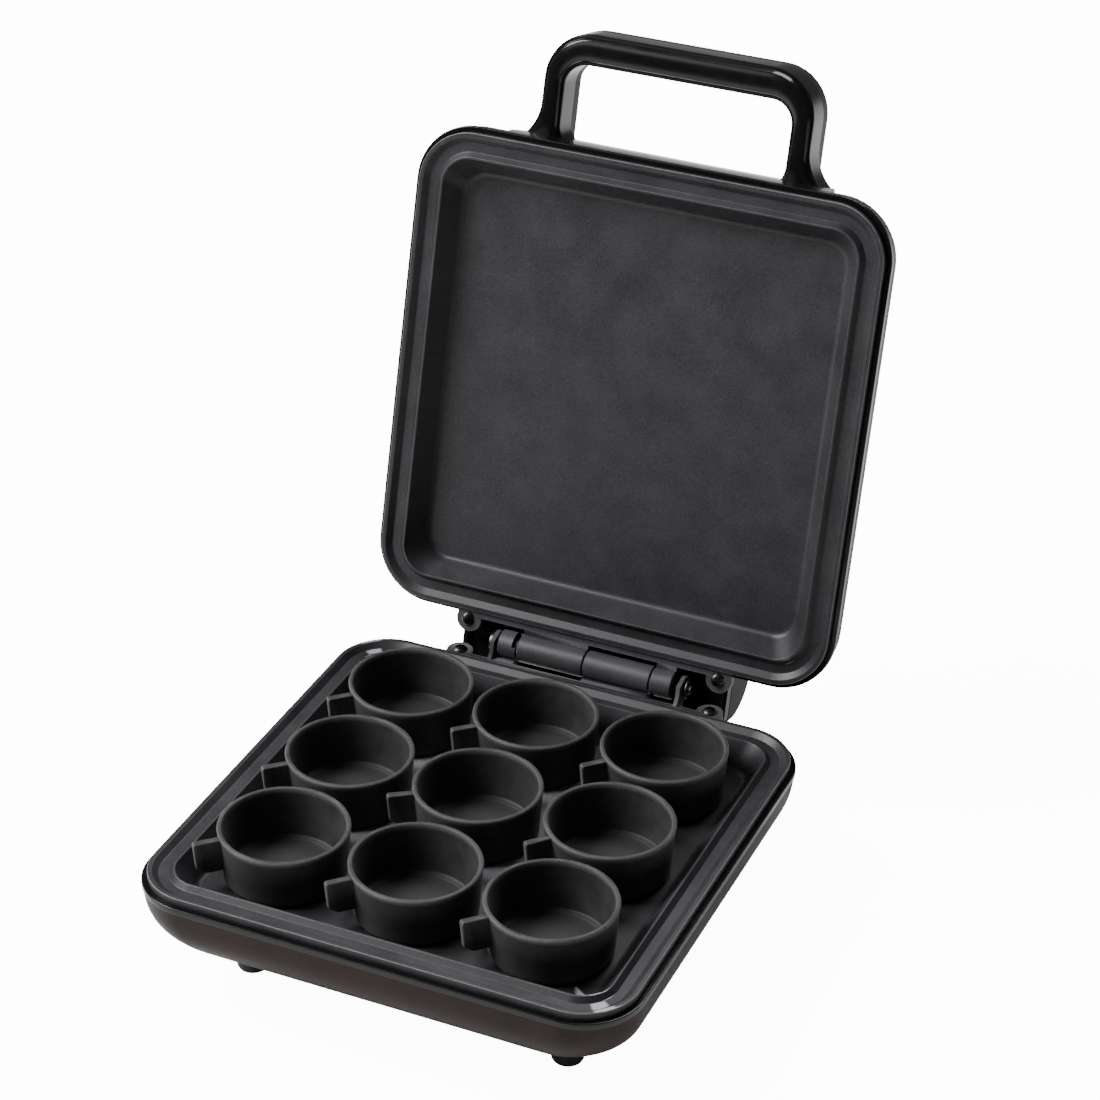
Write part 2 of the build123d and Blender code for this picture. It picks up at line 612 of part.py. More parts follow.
def base_nodes():
    """Everything that stays with the base."""
    nodes = {
        "lower_plate": make_lower_plate(),
        "lower_frame": make_lower_frame(),
        "lower_shell": make_lower_shell(),
        "lower_heater": make_heater(HEATER_Z),
        "lower_heat_shield": make_heat_shield(),
        "lower_thermostat": make_thermostat(),
        "thermal_fuse": make_thermal_fuse(),
        "terminal_block": make_terminal_block(),
        "cable_gland": make_cable_gland(),
        "base_leads": make_base_leads(),
        "hinge_pin": make_hinge_pin(),
        "pin_clip": make_pin_clip(),
        "feet": make_feet(),
        "foot_screws": make_foot_screws(),
        "tub_screws": make_tub_screws(),
        "lower_plate_screws": [screw(s * EAR_X, EAR_Y, -0.85, 12) for s in (-1, 1)],
        "lower_shield_screws": [screw(x, y, SHIELD_Z - 0.85, 8, up=False)
                                for x, y in grid_points(BOSS_XY)],
    }
    return nodes


def lid_nodes():
    """Everything that swings with the lid, closed."""
    handle_screws = [to_lid(screw(s * HANDLE_SCREW_X, -HANDLE_SCREW_Y, flip(44.0), 14, up=False))
                     for s in (-1, 1)]
    plate_screws = [to_lid(screw(s * EAR_X, EAR_Y, -0.85, 9.5)) for s in (-1, 1)]
    shield_screws = [to_lid(screw(x, y, SHIELD_Z - 0.85, 8, up=False))
                     for x, y in grid_points(BOSS_XY)]
    return {
        "upper_plate": make_upper_plate(),
        "upper_frame": make_upper_frame(),
        "upper_shell": make_upper_shell(),
        "upper_heater": to_lid(make_heater(HEATER_Z)),
        "upper_heat_shield": to_lid(make_heat_shield()),
        "upper_thermostat": to_lid(make_thermostat()),
        "indicator_lenses": make_lenses(),
        "indicator_lamps": make_lamps(),
        "upper_plate_screws": plate_screws,
        "upper_shield_screws": shield_screws,
        "handle_screws": handle_screws,
    }


def cup_nodes():
    """Nine loose cups standing in the lower pan."""
    nodes = {}
    for name, column, row, angle in CUP_TABS:
        spot = Pos(column * CUP_PITCH, row * CUP_PITCH, -PAN_DEPTH + 0.02)
        nodes[name] = spot * make_cup(angle)
    return nodes


def solids_of(shape):
    """Flat list of the solids in a shape or list of shapes."""
    if isinstance(shape, (list, tuple, ShapeList)):
        return [solid for item in shape for solid in solids_of(item)]
    return list(shape.solids())


def opened(solid):
    """Swing a lid solid from closed to its rest position."""
    return solid.rotate(Axis((0, HINGE_Y, HINGE_Z), (1, 0, 0)), -LID_OPEN_DEG)


def write(name, shape, is_lid=False):
    """Place a node in the shared frame and write its STEP file."""
    solids = solids_of(shape)
    if is_lid:
        solids = [opened(solid) for solid in solids]
    placed = [Pos(0, -CENTRE_Y, -FLOOR_Z) * solid for solid in solids]
    result = placed[0] if len(placed) == 1 else Compound(children=placed)
    result.label = name
    export_step(result, os.path.join("parts", name + ".step"))
    return placed


def main():
    """Build and write every node."""
    os.makedirs("parts", exist_ok=True)
    everything = []
    for name, shape in base_nodes().items():
        everything += write(name, shape)
    for name, shape in cup_nodes().items():
        everything += write(name, shape)
    for name, shape in lid_nodes().items():
        everything += write(name, shape, is_lid=True)
    box = Compound(children=everything).bounding_box()
    print("open size", box.min, box.max)


if __name__ == "__main__":
    main()
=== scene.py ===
"""Looks of the open nine-cup cake maker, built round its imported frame."""
import json
import logging
import math
from dataclasses import dataclass, replace
from enum import Enum

import bmesh
import bpy
from mathutils import Matrix, Vector


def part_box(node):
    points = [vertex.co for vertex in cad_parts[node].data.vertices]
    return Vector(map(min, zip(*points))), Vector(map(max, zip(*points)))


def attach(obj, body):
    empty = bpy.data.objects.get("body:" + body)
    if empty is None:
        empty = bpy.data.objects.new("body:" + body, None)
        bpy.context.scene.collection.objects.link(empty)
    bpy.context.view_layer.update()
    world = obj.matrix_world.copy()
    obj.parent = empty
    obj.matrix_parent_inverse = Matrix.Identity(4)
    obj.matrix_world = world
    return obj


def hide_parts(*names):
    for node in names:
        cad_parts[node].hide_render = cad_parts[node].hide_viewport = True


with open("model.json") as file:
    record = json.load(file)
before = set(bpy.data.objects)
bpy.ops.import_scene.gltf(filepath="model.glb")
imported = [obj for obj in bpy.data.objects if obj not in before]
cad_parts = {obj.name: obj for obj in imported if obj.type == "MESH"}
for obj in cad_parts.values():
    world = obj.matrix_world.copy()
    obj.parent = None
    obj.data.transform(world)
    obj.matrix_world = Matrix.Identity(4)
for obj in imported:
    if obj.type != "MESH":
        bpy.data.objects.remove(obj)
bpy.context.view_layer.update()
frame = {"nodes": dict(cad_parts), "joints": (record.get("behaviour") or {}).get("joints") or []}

LOG = logging.getLogger("cake_maker")
MM = 0.001

# ------------------------------------------------------------------ places taken from the frame
HINGE_JOINT = next(j for j in frame["joints"] if j["name"] == "lid_hinge")
LID_OPEN = math.radians(HINGE_JOINT["range_deg"][1])
HINGE_AT = Vector(HINGE_JOINT["pos_m"]) / MM
HINGE_ABOVE_LIP = 3.4
LIP_OUT = 117.0
LID_GAP = 3.0               # between the two lip planes when the lid is shut
RIM_CORNER = 90.5           # every corner arc of the rims shares this centre, in x and in y
PAN_AT = Vector((0.0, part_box("lower_plate")[0].y / MM + LIP_OUT, HINGE_AT.z - HINGE_ABOVE_LIP))
HINGE_BEHIND_PAN = HINGE_AT.y - PAN_AT.y

# ------------------------------------------------------------------ shape shared by several pieces
# Depth below the lips, half width and corner radius of the outer shells, from the edge to the floor.
SKIN = ((6.9, 119.3, 28.8), (16.0, 118.3, 29.0), (24.0, 115.5, 29.0), (31.5, 109.8, 28.0),
        (38.0, 101.0, 27.0), (42.4, 89.0, 25.0), (44.0, 77.0, 22.0))
HOLD = 0.25                 # loops this far beside a rounding keep wear and shading on the edge
FOOT_SEAT_Z = -42.5         # where the feet meet the tub, below the lower lip
TUB_POST = 58.0             # the tub screws stand this far from the middle, in x and in y
TUB_POST_Z = -43.95
EAR_X = 66.0                # plate screws
EAR_Y = 121.8
EAR_DEPTH = 0.9             # from a lip plane to the seat of its screws
HANDLE_SCREW = (62.4, -136.0, 48.2)


def base_place() -> Matrix:
    """Pan millimetres (lip plane at z = 0) to the shared frame in metres."""
    return Matrix.Scale(MM, 4) @ Matrix.Translation(PAN_AT)


def lid_place() -> Matrix:
    """Shut-lid millimetres to the open lid in the shared frame, in metres."""
    hinge = Matrix.Translation((0, HINGE_BEHIND_PAN, HINGE_ABOVE_LIP))
    return base_place() @ hinge @ Matrix.Rotation(-LID_OPEN, 4, "X") @ hinge.inverted()


def lid_pan_place() -> Matrix:
    """Millimetres of a pan lying mouth up to the same pan turned over in the open lid."""
    return lid_place() @ Matrix.Translation((0, 0, LID_GAP)) @ Matrix.Rotation(math.pi, 4, "Y")


class Side(Enum):
    """Which half of the appliance a piece belongs to."""

    BASE = "base"
    LID = "lid"


# ------------------------------------------------------------------ materials
def linear(code: str) -> tuple:
    """Linear RGBA of an sRGB hex colour.

    Args:
        code: Six hex digits.

    Returns:
        Red, green, blue and alpha, linear.
    """
    values = [int(code[i:i + 2], 16) / 255 for i in (0, 2, 4)]
    curve = [v / 12.92 if v <= 0.04045 else ((v + 0.055) / 1.055) ** 2.4 for v in values]
    return (*curve, 1.0)


def add(tree: bpy.types.NodeTree, kind: str, values: dict = None, **settings) -> bpy.types.Node:
    """Add a node, with its settings, values and links.

    Args:
        tree: Node tree to add to.
        kind: Node type name.
        values: Input name or index to a value, or to an output socket to link.
        settings: Node attributes.

    Returns:
        The new node.
    """
    node = tree.nodes.new(kind)
    for key, value in settings.items():
        setattr(node, key, value)
    for key, value in (values or {}).items():
        if isinstance(value, bpy.types.NodeSocket):
            tree.links.new(value, node.inputs[key])
        else:
            node.inputs[key].default_value = value
    return node


def ramp(tree: bpy.types.NodeTree, source: bpy.types.NodeSocket, stops: list) -> bpy.types.NodeSocket:
    """Colour ramp over a value.

    Args:
        tree: Node tree to add to.
        source: Value that drives the ramp.
        stops: (position, linear colour) pairs.

    Returns:
        The ramp's colour output.
    """
    node = add(tree, "ShaderNodeValToRGB", {"Fac": source})
    points = node.color_ramp.elements
    while len(points) < len(stops):
        points.new(0.5)
    for point, (place, colour) in zip(points, stops):
        point.position = place
        point.color = colour
    return node.outputs["Color"]


def span(tree: bpy.types.NodeTree, source: bpy.types.NodeSocket, low: float, high: float,
         start: float = 0.0, end: float = 1.0) -> bpy.types.NodeSocket:
    """Map a value's range to another.

    Args:
        tree: Node tree to add to.
        source: Value to map.
        low: Result at the start.
        high: Result at the end.
        start: Value that gives low.
        end: Value that gives high.

    Returns:
        The mapped value.
    """
    node = add(tree, "ShaderNodeMapRange", {"Value": source, "From Min": start, "From Max": end,
                                            "To Min": low, "To Max": high})
    return node.outputs["Result"]


@dataclass(frozen=True)
class Finish:
    """A moulded, cast or drawn surface with grain, mottling, and edges lightened for wear and painted
    highlight.
    """

    name: str
    dark: str                   # colour in the hollows of the mottling
    light: str                  # colour on its high spots
    edge_wear_and_highlight: str                    # colour of worn edges and of the highlight painted on them
    grain_mm: float             # size of the surface grain
    patch_mm: float             # size of the cloudy patches
    rough: tuple                # smoothest and roughest
    bump: float                 # height of the grain, mm
    edge_wear_and_highlight_share: float = 0.0      # how strongly edges are lightened for wear and painted highlight
    metallic: float = 0.0
    ior: float = 1.5
    sheen: float = 0.0
    speck: str = ""             # colour of bright specks, if any
    speck_mm: float = 0.0
    dust_and_top_light: str = ""              # colour of dust bloom and painted light on faces that look up
    brushed: bool = False
    glass: float = 0.0
    fine: float = 0.3           # share of the grain in the colour, against the patches
    scuff: float = 0.0          # strength of faint curved scuffs

    def build(self) -> bpy.types.Material:
        """Make the material.

        Returns:
            The new material.
        """
        made = bpy.data.materials.new(self.name)
        made.use_nodes = True
        tree = made.node_tree
        tree.nodes.clear()
        place = add(tree, "ShaderNodeTexCoord")
        stretch = (1.0, 1.0, 0.04) if self.brushed else (1.0, 1.0, 1.0)
        mapped = add(tree, "ShaderNodeMapping", {"Vector": place.outputs["Object"], "Scale": stretch})
        at = mapped.outputs["Vector"]
        grain = self.noise(tree, at, self.grain_mm, 3.0)
        patch = self.noise(tree, at, self.patch_mm, 5.0)
        tone = add(tree, "ShaderNodeMix", {"Factor": self.fine, "A": patch, "B": grain}, data_type="FLOAT")
        colour = ramp(tree, tone.outputs["Result"], [(0.4, linear(self.dark)), (0.6, linear(self.light))])
        colour = self.scuffs(tree, at, colour)
        colour = self.specks(tree, at, colour)
        colour = self.worn_and_highlit_edges(tree, colour, grain)
        colour = self.bloom_and_top_light(tree, colour, patch)
        mixed = add(tree, "ShaderNodeMath", {0: grain, 1: patch}, operation="ADD")
        rough = span(tree, mixed.outputs[0], self.rough[0], self.rough[1], 0.7, 1.3)
        values = {"Base Color": colour, "Roughness": rough, "Metallic": self.metallic,
                  "Sheen Weight": self.sheen, "Sheen Roughness": 0.45, "Transmission Weight": self.glass}
        if not self.metallic:
            values["IOR"] = self.ior
        values["Normal"] = self.normal(tree, grain)
        shader = add(tree, "ShaderNodeBsdfPrincipled", values)
        add(tree, "ShaderNodeOutputMaterial", {"Surface": shader.outputs["BSDF"]})
        return made

    def noise(self, tree: bpy.types.NodeTree, at: bpy.types.NodeSocket, size_mm: float,
              detail: float) -> bpy.types.NodeSocket:
        """Noise whose lumps are about a given size.

        Args:
            tree: Node tree to add to.
            at: Coordinates in metres.
            size_mm: Size of a lump.
            detail: Octaves.

        Returns:
            Noise value from 0 to 1.
        """
        node = add(tree, "ShaderNodeTexNoise", {"Vector": at, "Scale": 1 / (size_mm * MM), "Detail": detail,
                                                "Roughness": 0.55})
        return node.outputs["Fac"]

    def specks(self, tree: bpy.types.NodeTree, at: bpy.types.NodeSocket,
               colour: bpy.types.NodeSocket) -> bpy.types.NodeSocket:
        """Scatter bright specks over a colour, if the finish has them.

        Args:
            tree: Node tree to add to.
            at: Coordinates in metres.
            colour: Colour so far.

        Returns:
            The changed colour.
        """
        if not self.speck:
            return colour
        cell = add(tree, "ShaderNodeTexVoronoi", {"Vector": at, "Scale": 1 / (self.speck_mm * MM)})
        mask = span(tree, cell.outputs["Distance"], 0.55, 0.0, 0.08, 0.3)
        mix = add(tree, "ShaderNodeMix", {"Factor": mask, "A": colour, "B": linear(self.speck)},
                  data_type="RGBA")
        return mix.outputs["Result"]

    def scuffs(self, tree: bpy.types.NodeTree, at: bpy.types.NodeSocket,
               colour: bpy.types.NodeSocket) -> bpy.types.NodeSocket:
        """Darken a colour along thin curved scuffs, if the finish has them.

        Args:
            tree: Node tree to add to.
            at: Coordinates in metres.
            colour: Colour so far.

        Returns:
            The changed colour.
        """
        if not self.scuff:
            return colour
        swirl = add(tree, "ShaderNodeTexNoise", {"Vector": at, "Scale": 26.0, "Detail": 3.0,
                                                 "Roughness": 0.6, "Distortion": 1.6})
        lines = add(tree, "ShaderNodeValToRGB", {"Fac": swirl.outputs["Fac"]})
        points = lines.color_ramp.elements
        points.new(0.5)
        for point, (spot, level) in zip(points, ((0.485, 0.0), (0.5, self.scuff), (0.515, 0.0))):
            point.position = spot
            point.color = (level, level, level, 1.0)
        mix = add(tree, "ShaderNodeMix", {"Factor": lines.outputs["Color"], "A": colour,
                                          "B": linear(self.dark)}, data_type="RGBA")
        return mix.outputs["Result"]

    def worn_and_highlit_edges(self, tree: bpy.types.NodeTree, colour: bpy.types.NodeSocket,
               grain: bpy.types.NodeSocket) -> bpy.types.NodeSocket:
        """Lighten convex edges, if the finish has them: wear, and a painted highlight where edges catch the
        light.

        Args:
            tree: Node tree to add to.
            colour: Colour so far.
            grain: Fine noise that breaks up the wear and the painted highlight.

        Returns:
            The changed colour.
        """
        if not self.edge_wear_and_highlight_share:
            return colour
        shape = add(tree, "ShaderNodeNewGeometry")
        # Painted highlight: convex edges are lightened by pointiness to stand for light glinting on the lips,
        # together with wear.
        edge = span(tree, shape.outputs["Pointiness"], 0.0, self.edge_wear_and_highlight_share, 0.51, 0.57)
        edge_wear_and_highlight_mask = add(tree, "ShaderNodeMath", {0: edge, 1: span(tree, grain, 0.55, 1.0, 0.35, 0.6)},
                     operation="MULTIPLY")
        mix = add(tree, "ShaderNodeMix", {"Factor": edge_wear_and_highlight_mask.outputs[0], "A": colour, "B": linear(self.edge_wear_and_highlight)},
                  data_type="RGBA")
        return mix.outputs["Result"]

    def bloom_and_top_light(self, tree: bpy.types.NodeTree, colour: bpy.types.NodeSocket,
              patch: bpy.types.NodeSocket) -> bpy.types.NodeSocket:
        """Dust bloom and painted light on the faces that look up, if the finish has them.

        Args:
            tree: Node tree to add to.
            colour: Colour so far.
            patch: Coarse noise that breaks up the bloom and the painted light.

        Returns:
            The changed colour.
        """
        if not self.dust_and_top_light:
            return colour
        shape = add(tree, "ShaderNodeNewGeometry")
        # Painted light: faces that look up are tinted as if lit from above, together with dust bloom.
        up = add(tree, "ShaderNodeSeparateXYZ", {"Vector": shape.outputs["Normal"]})
        lit = span(tree, up.outputs["Z"], 0.0, 1.0, 0.35, 0.95)
        top_light_and_bloom = add(tree, "ShaderNodeMath", {0: lit, 1: span(tree, patch, 0.6, 1.0, 0.3, 0.7)},
                   operation="MULTIPLY")
        mix = add(tree, "ShaderNodeMix", {"Factor": top_light_and_bloom.outputs[0], "A": colour, "B": linear(self.dust_and_top_light)},
                  data_type="RGBA")
        return mix.outputs["Result"]

    def normal(self, tree: bpy.types.NodeTree, grain: bpy.types.NodeSocket) -> bpy.types.NodeSocket:
        """Normal with the surface grain."""
        values = {"Height": grain, "Distance": self.bump * MM, "Strength": 1.0}
        return add(tree, "ShaderNodeBump", values).outputs["Normal"]


# Cast aluminium under a sprayed non-stick coat: charcoal, satin, finely speckled and lightly scuffed, its
# edges lightened for wear and a painted highlight.
COATED_CAST = Finish("non_stick_coated_cast_aluminium", "18171a", "272629", "8c8a90", 0.5, 22.0,
                     (0.38, 0.52), 0.05, edge_wear_and_highlight_share=1.0, speck="333236", speck_mm=1.1, ior=1.33,
                     fine=0.6, scuff=0.4)
# The same coat on the knuckles and ears, with less edge wear and less painted edge highlight.
BARREL_COAT = replace(COATED_CAST, name="non_stick_coated_knuckles", edge_wear_and_highlight_share=0.25, scuff=0.0)
# Polished black ABS: deep gloss with the faint waviness of a moulding.
GLOSS_BLACK = Finish("polished_black_abs", "080707", "0b0a0a", "1c1b1b", 7.0, 50.0,
                     (0.14, 0.22), 0.003, edge_wear_and_highlight_share=0.3, ior=1.3)
# Satin ABS in a dark warm brown, from a lightly blasted mould.
SATIN_BROWN = Finish("satin_moulded_brown_abs", "1b1311", "241a17", "43362f", 0.5, 30.0,
                     (0.4, 0.5), 0.008, edge_wear_and_highlight_share=0.3, ior=1.17)
# Moulded silicone: soft dark grey, with dust bloom and painted light where it looks up, and edges lightened
# for wear and painted highlight.
SILICONE = Finish("moulded_dark_silicone", "1a1a1a", "242423", "5f5d5b", 0.6, 12.0,
                  (0.55, 0.7), 0.03, edge_wear_and_highlight_share=1.0, sheen=0.04, ior=1.33, dust_and_top_light="1e1e1e")
TURNED_STEEL = Finish("turned_steel", "8d8b88", "a9a7a3", "c9c7c2", 0.5, 9.0, (0.22, 0.4), 0.01,
                      metallic=1.0, brushed=True)
ZINC_STEEL = Finish("blackened_zinc_steel", "252424", "353333", "7f7d7a", 0.5, 4.0, (0.28, 0.45), 0.01,
                    metallic=1.0, edge_wear_and_highlight_share=0.8)
FOOT_RUBBER = Finish("moulded_black_rubber", "151414", "1b1a1a", "383636", 0.6, 8.0, (0.5, 0.7), 0.02,
                     edge_wear_and_highlight_share=0.4)
SHEET_STEEL = Finish("rolled_sheet_metal", "9b9a97", "b3b2ae", "cccac5", 0.8, 20.0, (0.25, 0.45), 0.01,
                     metallic=1.0, brushed=True)
HEATER_TUBE = Finish("oxidised_heater_tube", "3a332d", "5a5047", "8a7a6a", 0.6, 6.0, (0.4, 0.6), 0.02,
                     metallic=0.8)
PHENOLIC = Finish("moulded_brown_phenolic", "3a2419", "4a2f22", "6a4a38", 0.8, 10.0, (0.3, 0.45), 0.01)
STEATITE = Finish("unglazed_steatite", "cfcabf", "e0dbd1", "efebe2", 0.6, 8.0, (0.6, 0.8), 0.015)
SLEEVE = Finish("glass_sleeve", "a9a59b", "c4c0b6", "dcd8ce", 0.5, 5.0, (0.55, 0.75), 0.02)
AMBER = Finish("clear_amber_polycarbonate", "b3541a", "c96824", "e09048", 3.0, 8.0, (0.05, 0.12), 0.002,
               glass=0.6, ior=1.58)


def materials() -> dict:
    """Build every finish once, by name."""
    every = (COATED_CAST, BARREL_COAT, GLOSS_BLACK, SATIN_BROWN, SILICONE, TURNED_STEEL, ZINC_STEEL,
             FOOT_RUBBER, SHEET_STEEL, HEATER_TUBE, PHENOLIC, STEATITE, SLEEVE, AMBER)
    return {finish.name: finish.build() for finish in every}


MATERIALS = materials()


# ------------------------------------------------------------------ mesh making
def piece(name: str, bm: bmesh.types.BMesh, place: Matrix, sharp_deg: float = 38.0) -> bpy.types.Object:
    """Turn a bmesh in millimetres into a finished object at the origin.

    Args:
        name: Object name.
        bm: Mesh, freed here.
        place: Matrix from its millimetres to the shared frame.
        sharp_deg: Edges sharper than this stay hard.

    Returns:
        The new object.
    """
    bmesh.ops.remove_doubles(bm, verts=bm.verts, dist=1e-4)
    bmesh.ops.recalc_face_normals(bm, faces=bm.faces)
    bm.transform(place)
    for face in bm.faces:
        face.smooth = True
    for edge in bm.edges:
        edge.smooth = len(edge.link_faces) != 2 or edge.calc_face_angle() < math.radians(sharp_deg)
    mesh = bpy.data.meshes.new(name)
    bm.to_mesh(mesh)
    bm.free()
    obj = bpy.data.objects.new(name, mesh)
    bpy.context.scene.collection.objects.link(obj)
    return obj


def settle(obj: bpy.types.Object) -> bpy.types.Object:
    """Apply every modifier by replacing the mesh with the evaluated one.

    Args:
        obj: Object with modifiers.

    Returns:
        The same object, with none.
    """
    graph = bpy.context.evaluated_depsgraph_get()
    mesh = bpy.data.meshes.new_from_object(obj.evaluated_get(graph), depsgraph=graph)
    obj.modifiers.clear()
    obj.data = mesh
    return obj


def even_shading(obj: bpy.types.Object) -> bpy.types.Object:
    """Weight normals by face area so that flats read flat between rounded edges.

    Args:
        obj: Object to shade.

    Returns:
        The same object.
    """
    modifier = obj.modifiers.new("even", "WEIGHTED_NORMAL")
    modifier.keep_sharp = True
    modifier.weight = 80
    return settle(obj)


def bevelled(obj: bpy.types.Object, width_mm: float, steps: int = 3, angle: float = 30.0) -> bpy.types.Object:
    """Round an object's sharp edges.

    Args:
        obj: Object to round.
        width_mm: Bevel width.
        steps: Segments of each rounding.
        angle: Edges sharper than this are rounded.

    Returns:
        The same object with a new mesh.
    """
    modifier = obj.modifiers.new("round", "BEVEL")
    modifier.width = width_mm * MM
    modifier.segments = steps
    modifier.limit_method = "ANGLE"
    modifier.angle_limit = math.radians(angle)
    modifier.harden_normals = False
    settle(obj)
    for polygon in obj.data.polygons:
        polygon.use_smooth = True
    return even_shading(obj)


def dress(obj: bpy.types.Object, finish: Finish, body: str, slot: str, *nodes: str) -> bpy.types.Object:
    """Give a piece its material and body, and hide the frame nodes that it stands for.

    Args:
        obj: Finished object.
        finish: Its finish.
        body: Body that it rides on.
        slot: Record material slot; not used.
        nodes: Frame nodes that it replaces.

    Returns:
        The same object.
    """
    obj.data.materials.clear()
    obj.data.materials.append(MATERIALS[finish.name])
    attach(obj, body)
    if nodes:
        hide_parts(*nodes)
    LOG.info("%s: %d faces on %s", obj.name, len(obj.data.polygons), body)
    return obj


@dataclass(frozen=True)
class Corner:
    """One corner of a lofted profile, in pan millimetres."""

    half: float                 # half width of the rounded square
    radius: float               # radius of its corners
    z: float
    ease: float = 0.0           # how far along each side the rounding reaches


def eased(corners: list, steps: int = 5, closed: bool = False) -> list:
    """Round the corners of a profile with short curves.

    Args:
        corners: Corner values in order.
        steps: Points on each rounding, less one.
        closed: Whether the last corner joins the first.

    Returns:
        (half width, corner radius, z) triples.
    """
    rows = []
    count = len(corners)
    for i, corner in enumerate(corners):
        here = Vector((corner.half, corner.radius, corner.z))
        inside = closed or 0 < i < count - 1
        if not corner.ease or not inside:
            rows.append(here)
            continue
        before, after = corners[i - 1], corners[(i + 1) % count]
        to_before = Vector((before.half, before.radius, before.z)) - here
        to_after = Vector((after.half, after.radius, after.z)) - here
        a = here + to_before.normalized() * min(corner.ease, to_before.length * 0.38)
        c = here + to_after.normalized() * min(corner.ease, to_after.length * 0.38)
        rows.append(a + (a - here).normalized() * min(HOLD, to_before.length * 0.1))
        for k in range(steps + 1):
            t = k / steps
            rows.append(a * (1 - t) ** 2 + here * (2 * t * (1 - t)) + c * t * t)
        rows.append(c + (c - here).normalized() * min(HOLD, to_after.length * 0.1))
    return rows


def rounded_ring(half: float, radius: float, z: float, steps: int = 14) -> list:
    """Points round a square with rounded corners.

    Args:
        half: Half width of the square.
        radius: Radius of its corners.
        z: Height of every point.
        steps: Points on each corner, less one.

    Returns:
        The points, anticlockwise from above.
    """
    centre = half - radius
    points = []
    for quarter in range(4):
        start = quarter * math.pi / 2
        cx = centre * (1 if quarter in (0, 3) else -1)
        cy = centre * (1 if quarter in (0, 1) else -1)
        for i in range(steps + 1):
            a = start + math.pi / 2 * i / steps
            points.append(Vector((cx + radius * math.cos(a), cy + radius * math.sin(a), z)))
    return points


def lofted(rings: list, caps: bool = True, looped: bool = False) -> bmesh.types.BMesh:
    """Skin over rings of points.

    Args:
        rings: Lists of points, all of one length.
        caps: Whether the ends are closed with faces.
        looped: Whether the last ring joins the first.

    Returns:
        The new bmesh.
    """
    bm = bmesh.new()
    rows = [[bm.verts.new(point) for point in ring] for ring in rings]
    pairs = list(zip(rows, rows[1:])) + ([(rows[-1], rows[0])] if looped else [])
    for low, high in pairs:
        for i in range(len(low)):
            j = (i + 1) % len(low)
            bm.faces.new((low[i], low[j], high[j], high[i]))
    if caps and not looped:
        bm.faces.new(list(reversed(rows[0])))
        bm.faces.new(rows[-1])
    return bm


def square_loft(corners: list, looped: bool = False, steps: int = 5) -> bmesh.types.BMesh:
    """Loft of rounded squares through eased corners.

    Args:
        corners: Corner values in order.
        looped: Whether the last corner joins the first.
        steps: Points on each rounding, less one.

    Returns:
        The new bmesh.
    """
    rings = [rounded_ring(*row) for row in eased(corners, steps, looped)]
    return lofted(rings, caps=not looped, looped=looped)


def turned(profile: list, count: int = 64) -> bmesh.types.BMesh:
    """Body of revolution about Z.

    Args:
        profile: (radius, z) points that start and end on the axis.
        count: Points round the axis.

    Returns:
        The new bmesh.
    """
    rings = [[Vector((r * math.cos(2 * math.pi * i / count), r * math.sin(2 * math.pi * i / count), z))
              for i in range(count)] for r, z in profile]
    return lofted(rings)


def joined(obj: bpy.types.Object, other: bpy.types.Object) -> bpy.types.Object:
    """Add another object's mesh to an object by union, and delete the other.

    Args:
        obj: Object that stays.
        other: Object that goes into it.

    Returns:
        The first object with its new mesh.
    """
    join = obj.modifiers.new("join", "BOOLEAN")
    join.operation = "UNION"
    join.solver = "EXACT"
    join.object = other
    settle(obj)
    bpy.data.objects.remove(other)
    return obj


def prism(points: list, x_low: float, x_high: float) -> bmesh.types.BMesh:
    """Prism along X from (y, z) points."""
    rings = [[Vector((x, y, z)) for y, z in points] for x in (x_low, x_high)]
    return lofted(rings)


def box(x0: float, x1: float, y0: float, y1: float, z0: float, z1: float) -> bmesh.types.BMesh:
    """Block from its limits, to be rounded."""
    return prism([(y0, z0), (y1, z0), (y1, z1), (y0, z1)], x0, x1)


def merged(*parts: bmesh.types.BMesh) -> bmesh.types.BMesh:
    """One bmesh from several.

    Args:
        parts: Bmeshes, freed here.

    Returns:
        The new bmesh.
    """
    whole = bmesh.new()
    for part in parts:
        mesh = bpy.data.meshes.new("part")
        part.to_mesh(mesh)
        part.free()
        whole.from_mesh(mesh)
        bpy.data.meshes.remove(mesh)
    return whole


def arc(cx: float, cy: float, radius: float, start: float, end: float, steps: int) -> list:
    """Points on a circle between two angles.

    Args:
        cx: First coordinate of the centre.
        cy: Second coordinate of the centre.
        radius: Radius of the circle.
        start: First angle, degrees.
        end: Last angle, degrees.
        steps: Points, less one.

    Returns:
        The points, both ends included.
    """
    return [Vector((cx + radius * math.cos(math.radians(start + (end - start) * i / steps)),
                    cy + radius * math.sin(math.radians(start + (end - start) * i / steps))))
            for i in range(steps + 1)]


